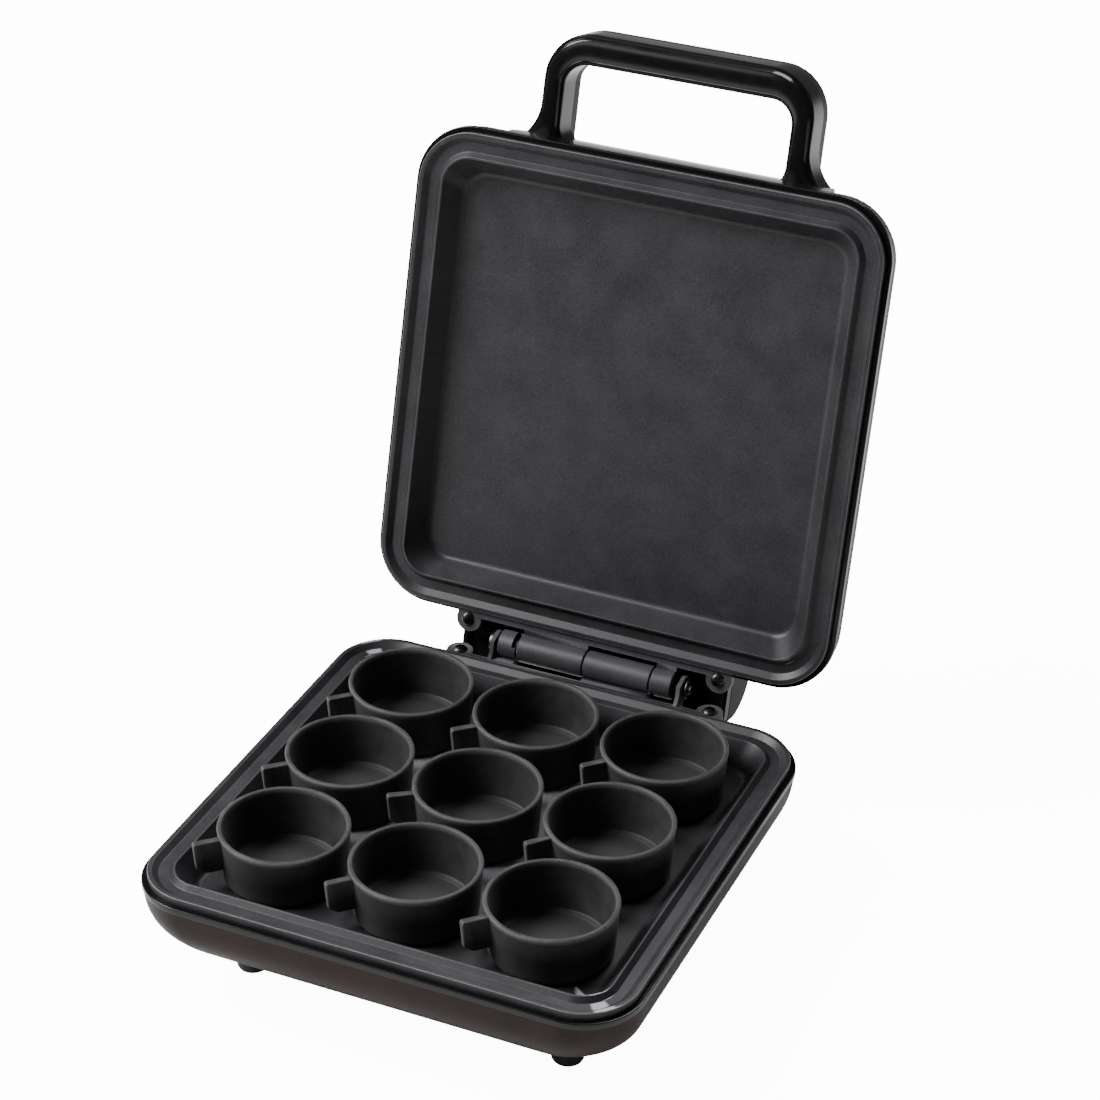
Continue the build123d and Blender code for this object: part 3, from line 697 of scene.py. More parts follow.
# ------------------------------------------------------------------ pans
@dataclass
class Pan:
    """Cast pan with its mouth, moat and outer lip."""

    side: Side
    floor: float = 97.0
    depth: float = 12.0
    mouth: float = 104.5
    ridge: float = 105.3
    land_in: float = 107.6
    land_out: float = 112.0
    lip_in: float = 114.8
    land_depth: float = 2.4
    rim: float = 5.2
    wall: float = 3.0

    def rim_corner(self, half: float, z: float, ease: float) -> Corner:
        """Profile corner whose arc is centred with the rest of the rim."""
        return Corner(half, half - RIM_CORNER, z, ease)

    def build(self) -> bpy.types.Object:
        """Make the pan.

        Returns:
            The finished piece.
        """
        under = -self.depth - self.wall
        profile = [
            Corner(self.floor - 9, 8.0, -self.depth),
            Corner(self.floor, 12.0, -self.depth, 2.0),
            self.rim_corner(self.mouth, 0, 0.3),
            self.rim_corner(self.ridge, 0, 0.3),
            self.rim_corner(self.land_in, -self.land_depth, 0.35),
            self.rim_corner(self.land_out, -self.land_depth, 0.4),
            self.rim_corner(self.lip_in, 0, 0.35),
            self.rim_corner(LIP_OUT, 0, 0.5),
            self.rim_corner(LIP_OUT, -self.rim, 0.3),
            self.rim_corner(self.mouth + self.wall, -self.rim, 0.5),
            Corner(self.floor + 2.4, 14.0, under, 2.0),
            Corner(self.floor - 9, 8.0, under),
        ]
        bm = square_loft(profile)
        if self.side is Side.BASE:
            pan = even_shading(piece("lower_pan", bm, base_place()))
            return dress(pan, COATED_CAST, "base", "coated_cast_aluminium", "lower_plate")
        pan = even_shading(piece("upper_pan", bm, lid_pan_place()))
        return dress(pan, COATED_CAST, "lid", "coated_cast_aluminium", "upper_plate")


def from_frame(node: str, name: str, limits: list, place: Matrix, soften_mm: float) -> bpy.types.Object:
    """Part of a frame node inside a box, with softened edges.

    Args:
        node: Frame node.
        name: Name of the new piece.
        limits: x0, x1, y0, y1, z0, z1 of the box, in the millimetres of place.
        place: Matrix from those millimetres to the shared frame.
        soften_mm: Edge rounding.

    Returns:
        The new piece, at the origin.
    """
    bm = bmesh.new()
    bm.from_mesh(frame["nodes"][node].data)
    bmesh.ops.remove_doubles(bm, verts=bm.verts, dist=2e-6)
    bmesh.ops.dissolve_limit(bm, angle_limit=math.radians(0.6), verts=bm.verts, edges=bm.edges)
    mesh = bpy.data.meshes.new(name)
    bm.to_mesh(mesh)
    bm.free()
    obj = bpy.data.objects.new(name, mesh)
    bpy.context.scene.collection.objects.link(obj)
    cutter = piece(name + "_cutter", box(*limits), place)
    cut = obj.modifiers.new("cut", "BOOLEAN")
    cut.operation = "INTERSECT"
    cut.solver = "EXACT"
    cut.object = cutter
    settle(obj)
    bpy.data.objects.remove(cutter)
    for polygon in obj.data.polygons:
        polygon.use_smooth = True
    if soften_mm:
        bevelled(obj, soften_mm, 2, 35.0)
    return obj


@dataclass
class Hinge:
    """Knuckles, lugs and flanges of both pans, with the pin between them."""

    half_width: float = 76.0
    front: float = LIP_OUT - 0.04
    back: float = 142.0
    low: float = -12.0
    high: float = 20.0
    soften: float = 0.3         # edge rounding

    def build(self) -> None:
        """Make the hinge halves and dress the pin and its clip."""
        limits = [-self.half_width, self.half_width, self.front, self.back, self.low, self.high]
        lower = from_frame("lower_plate", "lower_hinge_half", limits, base_place(), self.soften)
        dress(lower, BARREL_COAT, "base", "coated_cast_aluminium")
        upper = from_frame("upper_plate", "upper_hinge_half", limits, lid_place(), self.soften)
        dress(upper, BARREL_COAT, "lid", "coated_cast_aluminium")
        for name in ("hinge_pin", "pin_clip"):
            dress_node(name, ZINC_STEEL)


def dress_node(name: str, finish: Finish) -> None:
    """Give a frame node its procedural material and leave its mesh alone."""
    node = frame["nodes"][name]
    node.data.materials.clear()
    node.data.materials.append(MATERIALS[finish.name])
    LOG.info("%s: frame node in %s", name, finish.name)


# ------------------------------------------------------------------ frames and housings
@dataclass
class TrimFrame:
    """Polished black frame round a pan."""

    side: Side
    half: float = 119.7
    top: float = -3.7
    end: float = -6.8
    bore: float = 117.15
    skirt: float = 116.5
    skirt_end: float = -14.0
    skirt_wall: float = 1.8
    step: float = -5.4          # ledge that the pan's rim rests on

    def build(self) -> bpy.types.Object:
        """Make the frame ring.

        Returns:
            The finished piece.
        """
        inner = self.skirt - self.skirt_wall
        points = [(self.bore, self.top, 0.3), (self.half, self.top, 0.75), (self.half, self.end, 0.5),
                  (self.skirt, self.end, 0.2), (self.skirt, self.skirt_end, 0.3),
                  (inner, self.skirt_end, 0.3), (inner, self.step, 0.2), (self.bore, self.step, 0.1)]
        bm = square_loft([Corner(h, h - RIM_CORNER, z, e) for h, z, e in points], looped=True, steps=4)
        if self.side is Side.BASE:
            ring = even_shading(piece("lower_trim_frame", bm, base_place()))
            return dress(ring, GLOSS_BLACK, "base", "gloss_black_frame", "lower_frame")
        ring = even_shading(piece("upper_trim_frame", bm, lid_pan_place()))
        return dress(ring, GLOSS_BLACK, "lid", "gloss_black_frame", "upper_frame")


def smooth_rows(rows: tuple, steps: int) -> list:
    """Points on a smooth curve through rows of numbers.

    Args:
        rows: Tuples of one length.
        steps: Points from each row to the next.

    Returns:
        Vectors along the curve.
    """
    points = [Vector(row) for row in rows]
    out = []
    for i in range(len(points) - 1):
        p0, p1, p2 = points[max(i - 1, 0)], points[i], points[i + 1]
        p3 = points[min(i + 2, len(points) - 1)]
        for k in range(steps):
            t = k / steps
            out.append(0.5 * (2 * p1 + (p2 - p0) * t + (2 * p0 - 5 * p1 + 4 * p2 - p3) * t * t
                              + (3 * p1 - p0 - 3 * p2 + p3) * t ** 3))
    return out + [points[-1]]


def foot_spots() -> list:
    """Centres of the four feet, in pan millimetres, from the feet's box."""
    low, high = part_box("feet")
    radius = Feet.top
    return [(x, y) for x in (low.x / MM + radius, high.x / MM - radius)
            for y in (low.y / MM + radius - PAN_AT.y, high.y / MM - radius - PAN_AT.y)]


@dataclass
class Housing:
    """Satin outer shell of the base or the lid."""

    side: Side
    wall: float = 2.4
    edge: float = 0.5           # rounding of the upper edge

    def rings(self) -> list:
        """Rings from the middle of the outer floor over the outside to the middle of the inner floor.

        Returns:
            Lists of points, in pan millimetres.
        """
        outer = list(reversed(smooth_rows(SKIN, 5)))
        deep, half, _ = SKIN[-1]
        start = [Vector((deep, half * share, 20.0 * share)) for share in (0.1, 0.6, 0.9)]
        top_depth, top_half, top_radius = SKIN[0]
        edge = [Vector((top_depth - self.edge * 0.7, top_half - self.edge * 0.3, top_radius)),
                Vector((top_depth - self.edge, top_half - self.edge, top_radius - self.edge)),
                Vector((top_depth - self.edge, top_half - self.wall, top_radius - self.wall))]
        inside = [Vector((max(d - self.wall, top_depth), h - self.wall, max(r - self.wall, 1.0)))
                  for d, h, r in reversed(start + outer[:-3])]
        return [rounded_ring(h, r, -d) for d, h, r in start + outer + edge + inside]

    def build(self) -> bpy.types.Object:
        """Make the shell.

        Returns:
            The finished piece.
        """
        bm = lofted(self.rings())
        if self.side is Side.BASE:
            shell = piece("lower_housing", bm, base_place(), 60.0)
            for x, y in foot_spots():
                shell = joined(shell, self.foot_seat(x, y))
            even_shading(joined(shell, self.gland_boss()))
            return dress(shell, SATIN_BROWN, "base", "satin_brown_shell", "lower_shell")
        shell = even_shading(piece("upper_housing", bm, lid_pan_place(), 60.0))
        return dress(shell, SATIN_BROWN, "lid", "satin_brown_shell", "upper_shell")

    def foot_seat(self, x: float, y: float) -> bpy.types.Object:
        """Conical seat that a foot stands in, in the tub's wall and floor.

        Args:
            x: Centre of the foot, in pan millimetres.
            y: The same, towards the rear.

        Returns:
            The seat, to be joined to the tub.
        """
        profile = [(0.0, -36.0), (12.9, -36.0), (12.6, -38.0), (11.2, FOOT_SEAT_Z), (10.7, FOOT_SEAT_Z),
                   (10.6, FOOT_SEAT_Z + 0.3), (0.0, FOOT_SEAT_Z + 0.3)]
        if y > 0:
            profile[:2] = [(0.0, -28.0), (13.0, -28.0)]
        seat = turned(profile, 48)
        return piece("foot_seat", seat, base_place() @ Matrix.Translation((x, y, 0.0)), 40.0)

    def gland_boss(self) -> bpy.types.Object:
        """Round boss in the rear wall round the inlet bush.

        Returns:
            The boss, to be joined to the tub.
        """
        low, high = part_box("cable_gland")
        x = (low.x + high.x) / 2 / MM
        z = (low.z + high.z) / 2 / MM - PAN_AT.z
        profile = [(6.05, 0.0), (9.4, 0.0), (10.0, 0.6), (10.0, 14.0), (6.05, 14.0)]
        rings = [[Vector((r * math.cos(math.tau * i / 48), r * math.sin(math.tau * i / 48), -d))
                  for i in range(48)] for r, d in profile]
        turn = Matrix.Translation((x, 118.6, z)) @ Matrix.Rotation(-math.pi / 2, 4, "X")
        return piece("gland_boss", lofted(rings, looped=True), base_place() @ turn, 40.0)


# ------------------------------------------------------------------ handle
@dataclass
class Handle:
    """Loop handle in two halves, polished black in front and satin brown behind."""

    out_x: float = 67.8
    out_y: float = 169.3
    out_r: float = 23.3
    in_x: float = 57.0
    in_y: float = 154.3
    in_r: float = 11.0
    root_out: float = 10.3
    root_out_y: float = 134.0
    root_in: float = 5.4
    root_in_y: float = 124.5
    root_y: float = 114.5
    leg_end: float = 98.0
    front: float = 22.7
    split: float = 40.0
    back: float = 50.0
    pad_x: float = 78.4

    def path(self, x: float, y: float, r: float, flare: float, flare_y: float, end_y: float) -> list:
        """Edge of the loop from the left root over the top to the right root.

        Args:
            x: Half width.
            y: Reach of the top bar.
            r: Corner radius.
            flare: Sideways spread of the root, outwards if positive.
            flare_y: Where the flare starts.
            end_y: Where the root ends.

        Returns:
            Points in the plane of the lid.
        """
        if not flare:
            root = [Vector((x, -end_y + (end_y - flare_y) * i / 8)) for i in range(9)]
            return self.loop(x, y, r, flare_y, root)
        rise = flare_y - end_y
        radius = (flare ** 2 + rise ** 2) / (2 * abs(flare))
        turn = math.degrees(math.atan2(rise, radius - abs(flare)))
        if flare > 0:
            root = arc(x + radius, -flare_y, radius, 180, 180 - turn, 8)
        else:
            root = arc(x - radius, -flare_y, radius, 0, turn, 8)
        return self.loop(x, y, r, flare_y, list(reversed(root)))

    def loop(self, x: float, y: float, r: float, flare_y: float, root: list) -> list:
        """Both legs, corners and the top bar, after the points of a root.

        Args:
            x: Half width.
            y: Reach of the top bar.
            r: Corner radius.
            flare_y: Where the leg starts.
            root: Points of the root before it.

        Returns:
            Points in the plane of the lid.
        """
        leg_top = -(y - r)
        leg = [Vector((x, -flare_y + (leg_top + flare_y) * i / 4)) for i in range(1, 4)]
        corner = arc(x - r, leg_top, r, 0, -90, 12)
        bar = [Vector(((x - r) * (1 - i / 4), -y)) for i in range(1, 5)]
        half = root + leg + corner + bar
        other = [Vector((-p.x, p.y)) for p in half[:-1]]
        return half + list(reversed(other))

    def sweep(self, section: list, flared: bool) -> bmesh.types.BMesh:
        """Sweep a section round the loop.

        Args:
            section: (share of the way across, further mm across, z) triples of a closed outline.
            flared: Whether the roots spread, or run straight on into the lid.

        Returns:
            The new bmesh.
        """
        out, inn, end = (self.root_out, -self.root_in, self.root_y) if flared else (0.0, 0.0, self.leg_end)
        outer = self.path(self.out_x, self.out_y, self.out_r, out, self.root_out_y, end)
        inner = self.path(self.in_x, self.in_y, self.in_r, inn, self.root_in_y, end)
        rings = []
        for a, b in zip(outer, inner):
            across = (b - a).normalized()
            ring = []
            for share, more, z in section:
                p = a.lerp(b, share) + across * more
                ring.append(Vector((p.x, p.y, z)))
            rings.append(ring)
        return lofted(rings)

    def front_section(self) -> list:
        """Outline of the black half: a raised border each side of a rounded crown.

        Returns:
            (share of the way across, further mm across, z) triples.
        """
        low = self.front + 2.9
        half = [(0.0, 0.0, self.split), (0.0, 0.0, low + 1.2), (0.0, 0.25, low + 0.35), (0.0, 0.7, low),
                (0.0, 1.6, low - 0.1), (0.0, 1.9, low - 0.5)]
        crown = [(0.0, 2.1, low - 1.1), (0.0, 2.6, low - 1.9), (0.0, 3.4, low - 2.3)]
        crown += [(share, 3.4 * (1 - 2 * share), low - 2.3 - 0.35 * math.sin(math.pi * share))
                  for share in (0.2, 0.4, 0.6, 0.8)]
        crown += [(1.0, -3.4, low - 2.3), (1.0, -2.6, low - 1.9), (1.0, -2.1, low - 1.1)]
        rest = [(1.0 - share, -more, z) for share, more, z in reversed(half)]
        return half + crown + rest

    def back_section(self) -> list:
        """Outline of the brown half, with rounded outer corners.

        Returns:
            (share of the way across, further mm across, z) triples.
        """
        start = self.split + 0.05
        half = [(0.0, 0.0, start)]
        for k in range(7):
            a = math.radians(90 * k / 6)
            half.append((0.0, 4.0 - 4.0 * math.cos(a), self.back - 4.0 + 4.0 * math.sin(a)))
        rest = [(1.0 - share, -more, z) for share, more, z in reversed(half)]
        return half + rest

    def build(self) -> None:
        """Make both halves, the pad between the roots and the web behind it."""
        front = even_shading(piece("handle_front", self.sweep(self.front_section(), True), lid_place(), 28.0))
        dress(front, GLOSS_BLACK, "lid", "gloss_black_frame")
        back = even_shading(piece("handle_back", self.sweep(self.back_section(), False), lid_place(), 40.0))
        dress(back, SATIN_BROWN, "lid", "satin_brown_shell")
        pad = [(-119.5, 7.0), (-119.5, 18.0), (-118.2, 26.0), (-116.0, self.split), (-108, self.split),
               (-108, 7.0)]
        plate = bevelled(piece("handle_pad", prism(pad, -self.pad_x, self.pad_x), lid_place()), 0.7, 3, 12.0)
        dress(plate, GLOSS_BLACK, "lid", "gloss_black_frame")
        web = [(-116.0, self.split + 0.05), (-110, 44.0), (-95, 45.6), (-95, self.split + 0.05)]
        slope = bevelled(piece("handle_web", prism(web, -self.pad_x, self.pad_x), lid_place()), 1.5, 4, 12.0)
        dress(slope, SATIN_BROWN, "lid", "satin_brown_shell")


@dataclass
class HingeHousing:
    """Rear housing of the lid with the black cover inside it."""

    x: float = 70.0
    y: float = 146.0
    z: float = 11.6
    cover: float = 2.6
    front: float = 116.5        # just behind the pan's lip
    deck_y: float = 78.0        # flat deck that runs into the shell
    deck_z: float = 46.8

    def build(self) -> None:
        """Make the housing, the cover over the barrels and its ends."""
        low = self.z + self.cover + 0.1
        crown = smooth_rows(((self.y, low), (self.y, 20.0), (self.y - 1.4, 28.0), (self.y - 8.0, 37.5),
                             (self.y - 22.0, 44.3), (self.y - 36.0, 46.4),
                             (self.y - 46.0, self.deck_z), (self.deck_y, self.deck_z)), 4)
        outline = [(p.x, p.y) for p in crown] + [(self.deck_y, 42.0), (112.0, 33.0), (self.front, low)]
        rear = piece("hinge_housing", prism(outline, -self.x, self.x), lid_place(), 50.0)
        dress(bevelled(rear, 3.2, 5, 55.0), SATIN_BROWN, "lid", "satin_brown_shell")
        y_end = self.y - 2.0
        wall = box(-self.x, self.x, self.front, y_end, self.z, self.z + self.cover)
        inner = self.x - self.cover
        ends = [box(x0, x1, self.front, y_end, self.z - 3.0, self.z + 0.4)
                for x0, x1 in ((-self.x, -inner), (inner, self.x))]
        cover = piece("hinge_cover", merged(wall, *ends), lid_place())
        dress(bevelled(cover, 0.5, 3), GLOSS_BLACK, "lid", "gloss_black_frame")


# ------------------------------------------------------------------ cups
@dataclass
class Cup:
    """One loose silicone cup with its flat tab."""

    node: str
    radius: float = 30.0
    foot: float = 28.0
    foot_round: float = 3.8
    height: float = 26.4
    wall: float = 2.0
    reach: float = 42.0
    tab: float = 3.4
    tab_drop: float = 1.2
    tab_height: float = 16.5
    pitch: float = 65.0         # from cup to cup

    def centre(self) -> Vector:
        """Centre of the cup's foot, in pan millimetres.

        Returns:
            The centre, on the floor that the node stands on.
        """
        low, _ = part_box(self.node)
        names = ("left", "middle", "right")
        column = next((i - 1 for i, word in enumerate(names) if self.node.endswith(word)), 0)
        row = 1 if "rear" in self.node else -1 if "front" in self.node else 0
        floor = low.z / MM - PAN_AT.z
        return Vector((column * self.pitch, row * self.pitch, floor))

    def direction(self) -> float:
        """Angle that the tab points at, from how far the node reaches past the cup.

        Returns:
            Angle in radians.
        """
        low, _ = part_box(self.node)
        centre = self.centre() + PAN_AT
        reach_x = centre.x - low.x / MM
        reach_y = centre.y - low.y / MM
        return tab_angle(reach_x, reach_y, self.reach, self.tab, self.radius)

    def build(self) -> bpy.types.Object:
        """Make the cup.

        Returns:
            The finished piece.
        """
        r, f, h, w = self.radius, self.foot, self.height, self.wall
        bend = self.foot_round
        outside = [(0.0, 0.0), (f - bend - 1.0, 0.0)]
        outside += [(p.x, p.y) for p in arc(f - bend + 0.3, bend, bend, -86, -6, 7)]
        outside += [(r - 0.45, h - 3.2), (r - 0.02, h - 1.0), (r - 0.25, h - 0.3), (r - 0.8, h)]
        inside = [(r - w + 0.2, h - 0.05), (r - w - 0.2, h - 0.5), (r - w - 0.6, h - 3.0),
                  (f - w - 0.05, w + 1.0), (f - w - 0.3, w + 0.35), (f - w - 1.0, w), (f - w - 2.6, w),
                  (f - w - 2.9, w - 0.2), (f - w - 3.4, w - 0.25), (0.0, w - 0.25)]
        body = turned(self.denser(outside + inside), 72)
        place = base_place() @ Matrix.Translation(self.centre()) @ Matrix.Rotation(self.direction(), 4, "Z")
        obj = piece(self.node + "_moulded", body, place, 70.0)
        tab = bevelled(piece(self.node + "_tab", self.tab_mesh(), place), 0.6, 3)
        joined(obj, tab)
        return dress(obj, SILICONE, self.node + "_body", "cup_silicone", self.node)

    def denser(self, profile: list) -> list:
        """Profile with a few more points on its long straight runs.

        Args:
            profile: (radius, z) points.

        Returns:
            The same outline with more points.
        """
        out = []
        for a, b in zip(profile, profile[1:]):
            length = math.hypot(b[0] - a[0], b[1] - a[1])
            count = max(1, round(length / 6.0))
            out += [(a[0] + (b[0] - a[0]) * k / count, a[1] + (b[1] - a[1]) * k / count)
                    for k in range(count)]
        return [(max(r, 0.0), z) for r, z in out + [profile[-1]]]

    def tab_mesh(self) -> bmesh.types.BMesh:
        """Flat tab that points along X.

        Returns:
            The new bmesh, in the cup's millimetres.
        """
        top = self.height - self.tab_drop
        low = top - self.tab_height
        outline = [(self.radius - 1.4, top), (self.reach - 0.6, top), (self.reach, top - 1.2),
                   (self.reach - 1.2, low + 3.0), (self.reach - 5.5, low), (self.radius - 2.6, low)]
        half = self.tab / 2
        rings = [[Vector((x, y, z)) for x, z in outline] for y in (-half, half)]
        return lofted(rings)


def tab_angle(reach_x: float, reach_y: float, reach: float, thick: float, radius: float) -> float:
    """Angle of a tab whose tip stands out towards -X and -Y.

    Args:
        reach_x: How far the cup's box goes towards -X from its centre.
        reach_y: How far it goes towards -Y.
        reach: Length of the tab from the cup's axis.
        thick: Thickness of the tab.
        radius: Radius of the rim.

    Returns:
        Angle in radians.
    """
    tip = math.hypot(reach, thick / 2)
    lean = math.atan2(thick / 2, reach)
    if reach_x > radius + 0.05:
        return math.pi + math.acos(min(1.0, reach_x / tip)) + lean
    return math.pi + math.asin(min(1.0, reach_y / tip)) - lean


# ------------------------------------------------------------------ feet, lenses and screws
@dataclass
class Feet:
    """Four conical rubber feet with a recess for the screw."""

    top: float = 10.5
    base: float = 7.5
    recess: float = 3.9
    recess_depth: float = 7.0

    def build(self) -> bpy.types.Object:
        """Make the feet as one piece.

        Returns:
            The finished piece.
        """
        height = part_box("feet")[1].z / MM
        spots = [Vector((x, y + PAN_AT.y, 0)) for x, y in foot_spots()]
        profile = [(0.0, self.recess_depth), (self.recess - 0.3, self.recess_depth),
                   (self.recess, self.recess_depth - 0.3), (self.recess, 0.5), (self.recess + 0.4, 0.0),
                   (self.base - 1.6, 0.0), (self.base - 0.6, 0.35), (self.base - 0.05, 1.4),
                   (self.top - 0.8, height - 3.2), (self.top - 0.5, height - 2.6),
                   (self.top, height - 2.2), (self.top, height), (0.0, height)]
        parts = []
        for spot in spots:
            foot = turned(profile, 48)
            foot.transform(Matrix.Translation(spot))
            parts.append(foot)
        obj = even_shading(piece("rubber_feet", merged(*parts), Matrix.Scale(MM, 4)))
        return dress(obj, FOOT_RUBBER, "base", "foot_rubber", "feet")


def screw_tree() -> bpy.types.NodeTree:
    """Geometry Nodes that put a pan head with a cross recess at each point.

    Returns:
        The node group, with named inputs for its sizes.
    """
    tree = bpy.data.node_groups.new("pan_head_screws", "GeometryNodeTree")
    face = tree.interface
    face.new_socket("Geometry", in_out="INPUT", socket_type="NodeSocketGeometry")
    for name, value in (("Head Radius", 3.6 * MM), ("Head Height", 2.0 * MM), ("Slot Width", 0.95 * MM)):
        socket = face.new_socket(name, in_out="INPUT", socket_type="NodeSocketFloat")
        socket.default_value = value
    face.new_socket("Tilt", in_out="INPUT", socket_type="NodeSocketFloat")
    face.new_socket("Material", in_out="INPUT", socket_type="NodeSocketMaterial")
    face.new_socket("Geometry", in_out="OUTPUT", socket_type="NodeSocketGeometry")
    given = add(tree, "NodeGroupInput").outputs
    ball = add(tree, "GeometryNodeMeshUVSphere", {"Segments": 40, "Rings": 24,
                                                  "Radius": given["Head Radius"]})
    ratio = add(tree, "ShaderNodeMath", {0: given["Head Height"], 1: given["Head Radius"]},
                operation="DIVIDE")
    flat = add(tree, "ShaderNodeCombineXYZ", {"X": 1.0, "Y": 1.0, "Z": ratio.outputs[0]})
    dome = add(tree, "GeometryNodeTransform", {"Geometry": ball.outputs["Mesh"],
                                               "Scale": flat.outputs[0]})
    long_side = add(tree, "ShaderNodeMath", {0: given["Head Radius"], 1: 1.25}, operation="MULTIPLY")
    tall = add(tree, "ShaderNodeMath", {0: given["Head Height"], 1: 1.1}, operation="MULTIPLY")
    first = add(tree, "ShaderNodeCombineXYZ", {"X": long_side.outputs[0], "Y": given["Slot Width"],
                                               "Z": tall.outputs[0]})
    second = add(tree, "ShaderNodeCombineXYZ", {"X": given["Slot Width"], "Y": long_side.outputs[0],
                                                "Z": tall.outputs[0]})
    lift = add(tree, "ShaderNodeCombineXYZ", {"Z": given["Head Height"]})
    slots = [add(tree, "GeometryNodeMeshCube", {"Size": size.outputs[0]}) for size in (first, second)]
    placed = [add(tree, "GeometryNodeTransform", {"Geometry": cube.outputs["Mesh"],
                                                  "Translation": lift.outputs[0]}) for cube in slots]
    cut = dome
    for cube in placed:
        cut = add(tree, "GeometryNodeMeshBoolean", {"Mesh 1": cut.outputs[0], "Mesh 2": cube.outputs[0]},
                  operation="DIFFERENCE", solver="EXACT")
    turn = add(tree, "ShaderNodeCombineXYZ", {"X": given["Tilt"], "Z": 0.5})
    spread = add(tree, "GeometryNodeInstanceOnPoints", {"Points": given["Geometry"],
                                                        "Instance": cut.outputs["Mesh"],
                                                        "Rotation": turn.outputs[0]})
    real = add(tree, "GeometryNodeRealizeInstances", {"Geometry": spread.outputs["Instances"]})
    painted = add(tree, "GeometryNodeSetMaterial", {"Geometry": real.outputs["Geometry"],
                                                    "Material": given["Material"]})
    add(tree, "NodeGroupOutput", {"Geometry": painted.outputs["Geometry"]})
    return tree


@dataclass
class Screws:
    """A set of screws that share a node, a body and a direction."""

    node: str
    body: str
    spots: list                 # head seats, in the millimetres of place
    place: Matrix
    tilt: float                 # turn about X of the head's axis from +Z
    radius: float = 3.6
    height: float = 2.0

    def build(self, tree: bpy.types.NodeTree) -> bpy.types.Object:
        """Make the screw heads.

        Args:
            tree: The screw node group.

        Returns:
            The finished piece.
        """
        mesh = bpy.data.meshes.new(self.node)
        mesh.from_pydata([self.place @ Vector(spot) for spot in self.spots], [], [])
        obj = bpy.data.objects.new(self.node + "_heads", mesh)
        bpy.context.scene.collection.objects.link(obj)
        modifier = obj.modifiers.new("screws", "NODES")
        modifier.node_group = tree
        values = {"Head Radius": self.radius * MM, "Head Height": self.height * MM, "Tilt": self.tilt,
                  "Material": MATERIALS[ZINC_STEEL.name]}
        for item in tree.interface.items_tree:
            if item.in_out == "INPUT" and item.name in values:
                modifier[item.identifier] = values[item.name]
        settle(obj)
        for polygon in obj.data.polygons:
            polygon.use_smooth = False
        return dress(obj, ZINC_STEEL, self.body, "screw_steel", self.node)


def all_screws() -> list:
    """Every visible set of screws.

    Returns:
        Screws objects, not built yet.
    """
    feet_low, feet_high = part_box("foot_screws")
    head = Screws.radius
    under_feet = [(x, y, Feet.recess_depth) for x in (feet_low.x / MM + head, feet_high.x / MM - head)
                  for y in (feet_low.y / MM + head, feet_high.y / MM - head)]
    posts = [(x, y, TUB_POST_Z) for x in (-TUB_POST, TUB_POST) for y in (-TUB_POST, TUB_POST)]
    lower_ears = [(x, EAR_Y, -EAR_DEPTH) for x in (-EAR_X, EAR_X)]
    upper_ears = [(x, EAR_Y, LID_GAP + EAR_DEPTH) for x in (-EAR_X, EAR_X)]
    screw_x, screw_y, screw_z = HANDLE_SCREW
    grip = [(x, screw_y, screw_z) for x in (-screw_x, screw_x)]
    return [
        Screws("lower_plate_screws", "base", lower_ears, base_place(), 0.0),
        Screws("upper_plate_screws", "lid", upper_ears, lid_place(), math.pi - LID_OPEN),
        Screws("foot_screws", "base", under_feet, Matrix.Scale(MM, 4), math.pi),
        Screws("tub_screws", "base", posts, base_place(), math.pi),
        Screws("handle_screws", "lid", grip, lid_place(), -LID_OPEN),
    ]


HIDDEN_FINISHES = {
    "lower_heater": HEATER_TUBE, "upper_heater": HEATER_TUBE, "lower_heat_shield": SHEET_STEEL,
    "upper_heat_shield": SHEET_STEEL, "lower_thermostat": PHENOLIC, "upper_thermostat": PHENOLIC,
    "thermal_fuse": TURNED_STEEL, "terminal_block": STEATITE, "cable_gland": FOOT_RUBBER,
    "base_leads": SLEEVE, "indicator_lenses": AMBER, "indicator_lamps": AMBER,
    "lower_shield_screws": ZINC_STEEL, "upper_shield_screws": ZINC_STEEL,
}


# ------------------------------------------------------------------ studio
@dataclass(frozen=True)
class Softbox:
    """Large soft light that faces the appliance."""

    name: str
    place: tuple
    size: float
    watts: float
    aim: tuple = (0.0, 0.02, 0.12)

    def build(self) -> None:
        """Make the light."""
        data = bpy.data.lights.new(self.name, "AREA")
        data.shape = "SQUARE"
        data.size = self.size
        data.energy = self.watts
        lamp = bpy.data.objects.new(self.name, data)
        bpy.context.scene.collection.objects.link(lamp)
        lamp.location = self.place
        lamp.rotation_mode = "QUATERNION"
        lamp.rotation_quaternion = (Vector(self.aim) - Vector(self.place)).to_track_quat("-Z", "Y")


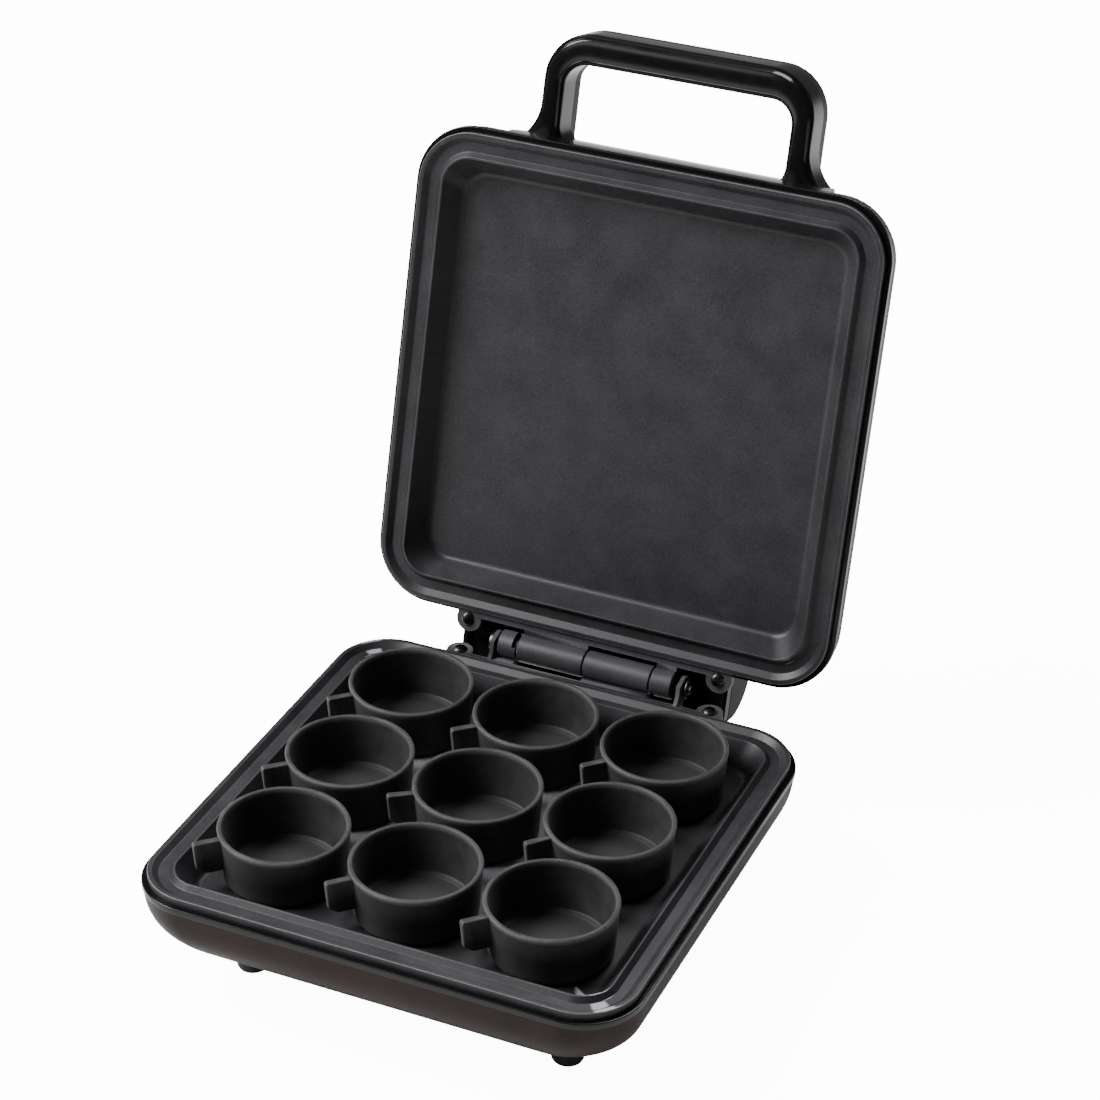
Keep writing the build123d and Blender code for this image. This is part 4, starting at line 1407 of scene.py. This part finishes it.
@dataclass
class Studio:
    """Pale floor, soft lights, plain surround and the camera."""

    lens: float = 104.8
    paper_glow: float = 12.0
    surround_glow: float = 0.17
    eye: tuple = (0.49698, -1.15212, 0.90752)
    look: tuple = (-0.33746, 0.79197, -0.50882)
    up: tuple = (-0.21798, 0.46009, 0.86070)

    def camera(self) -> None:
        """Place the camera and make it the scene's."""
        data = bpy.data.cameras.new("camera")
        data.lens = self.lens
        data.sensor_width = 36.0
        data.clip_start = 0.05
        data.clip_end = 20.0
        camera = bpy.data.objects.new("camera", data)
        bpy.context.scene.collection.objects.link(camera)
        back = -Vector(self.look).normalized()
        right = Vector(self.up).cross(back).normalized()
        up = back.cross(right)
        turn = Matrix((right, up, back)).transposed()
        camera.matrix_world = Matrix.Translation(self.eye) @ turn.to_4x4()
        bpy.context.scene.camera = camera

    def floor(self) -> None:
        """Wide pale floor with a faint mottling."""
        bm = bmesh.new()
        bmesh.ops.create_grid(bm, x_segments=4, y_segments=4, size=6.0)
        plane = piece("studio_floor", bm, Matrix.Translation((0, 0, -0.0002)))
        paint = Finish("studio_paper", "f4f4f3", "f8f8f7", "ffffff", 4.0, 300.0, (0.85, 0.95), 0.0).build()
        self.lit_from_behind(paint.node_tree)
        plane.data.materials.append(paint)

    def lit_from_behind(self, tree: bpy.types.NodeTree) -> None:
        """Let the paper glow for the camera only, as a backlit sweep does.

        Args:
            tree: The paper's node tree.
        """
        output = next(node for node in tree.nodes if node.type == "OUTPUT_MATERIAL")
        paper = output.inputs["Surface"].links[0].from_socket
        ray = add(tree, "ShaderNodeLightPath")
        glow = add(tree, "ShaderNodeEmission", {"Color": (1.0, 1.0, 1.0, 1.0), "Strength": self.paper_glow})
        seen = add(tree, "ShaderNodeMixShader", {0: ray.outputs["Is Camera Ray"], 2: glow.outputs[0]})
        both = add(tree, "ShaderNodeAddShader", {0: paper, 1: seen.outputs[0]})
        tree.links.new(both.outputs[0], output.inputs["Surface"])

    def surround(self) -> None:
        """Plain pale surround light."""
        world = bpy.data.worlds.new("surround")
        world.use_nodes = True
        world.node_tree.nodes.clear()
        glow = add(world.node_tree, "ShaderNodeBackground", {"Color": linear("f5f6f8"),
                                                             "Strength": self.surround_glow})
        add(world.node_tree, "ShaderNodeOutputWorld", {"Surface": glow.outputs[0]})
        bpy.context.scene.world = world

    def build(self) -> None:
        """Make the studio."""
        self.camera()
        self.floor()
        self.surround()
        for light in (Softbox("key", (-1.4, -0.6, 1.7), 0.9, 125.0),
                      Softbox("front", (-1.2, -2.0, 1.6), 1.0, 12.0),
                      Softbox("rear", (0.1, 1.5, 2.4), 1.3, 80.0)):
            light.build()


def dress_hidden() -> None:
    """Give the inner parts and small fittings their materials."""
    for name, finish in HIDDEN_FINISHES.items():
        dress_node(name, finish)


def main() -> None:
    """Build the studio, then every sub-assembly in order."""
    logging.basicConfig(level=logging.INFO, format="%(message)s")
    Studio().build()
    for side in Side:
        Pan(side).build()
        TrimFrame(side).build()
        Housing(side).build()
    Hinge().build()
    Handle().build()
    HingeHousing().build()
    for node in sorted(frame["nodes"]):
        if node.startswith("cup_"):
            Cup(node).build()
    Feet().build()
    tree = screw_tree()
    for screws in all_screws():
        screws.build(tree)
    dress_hidden()


if __name__ == "__main__":
    main()
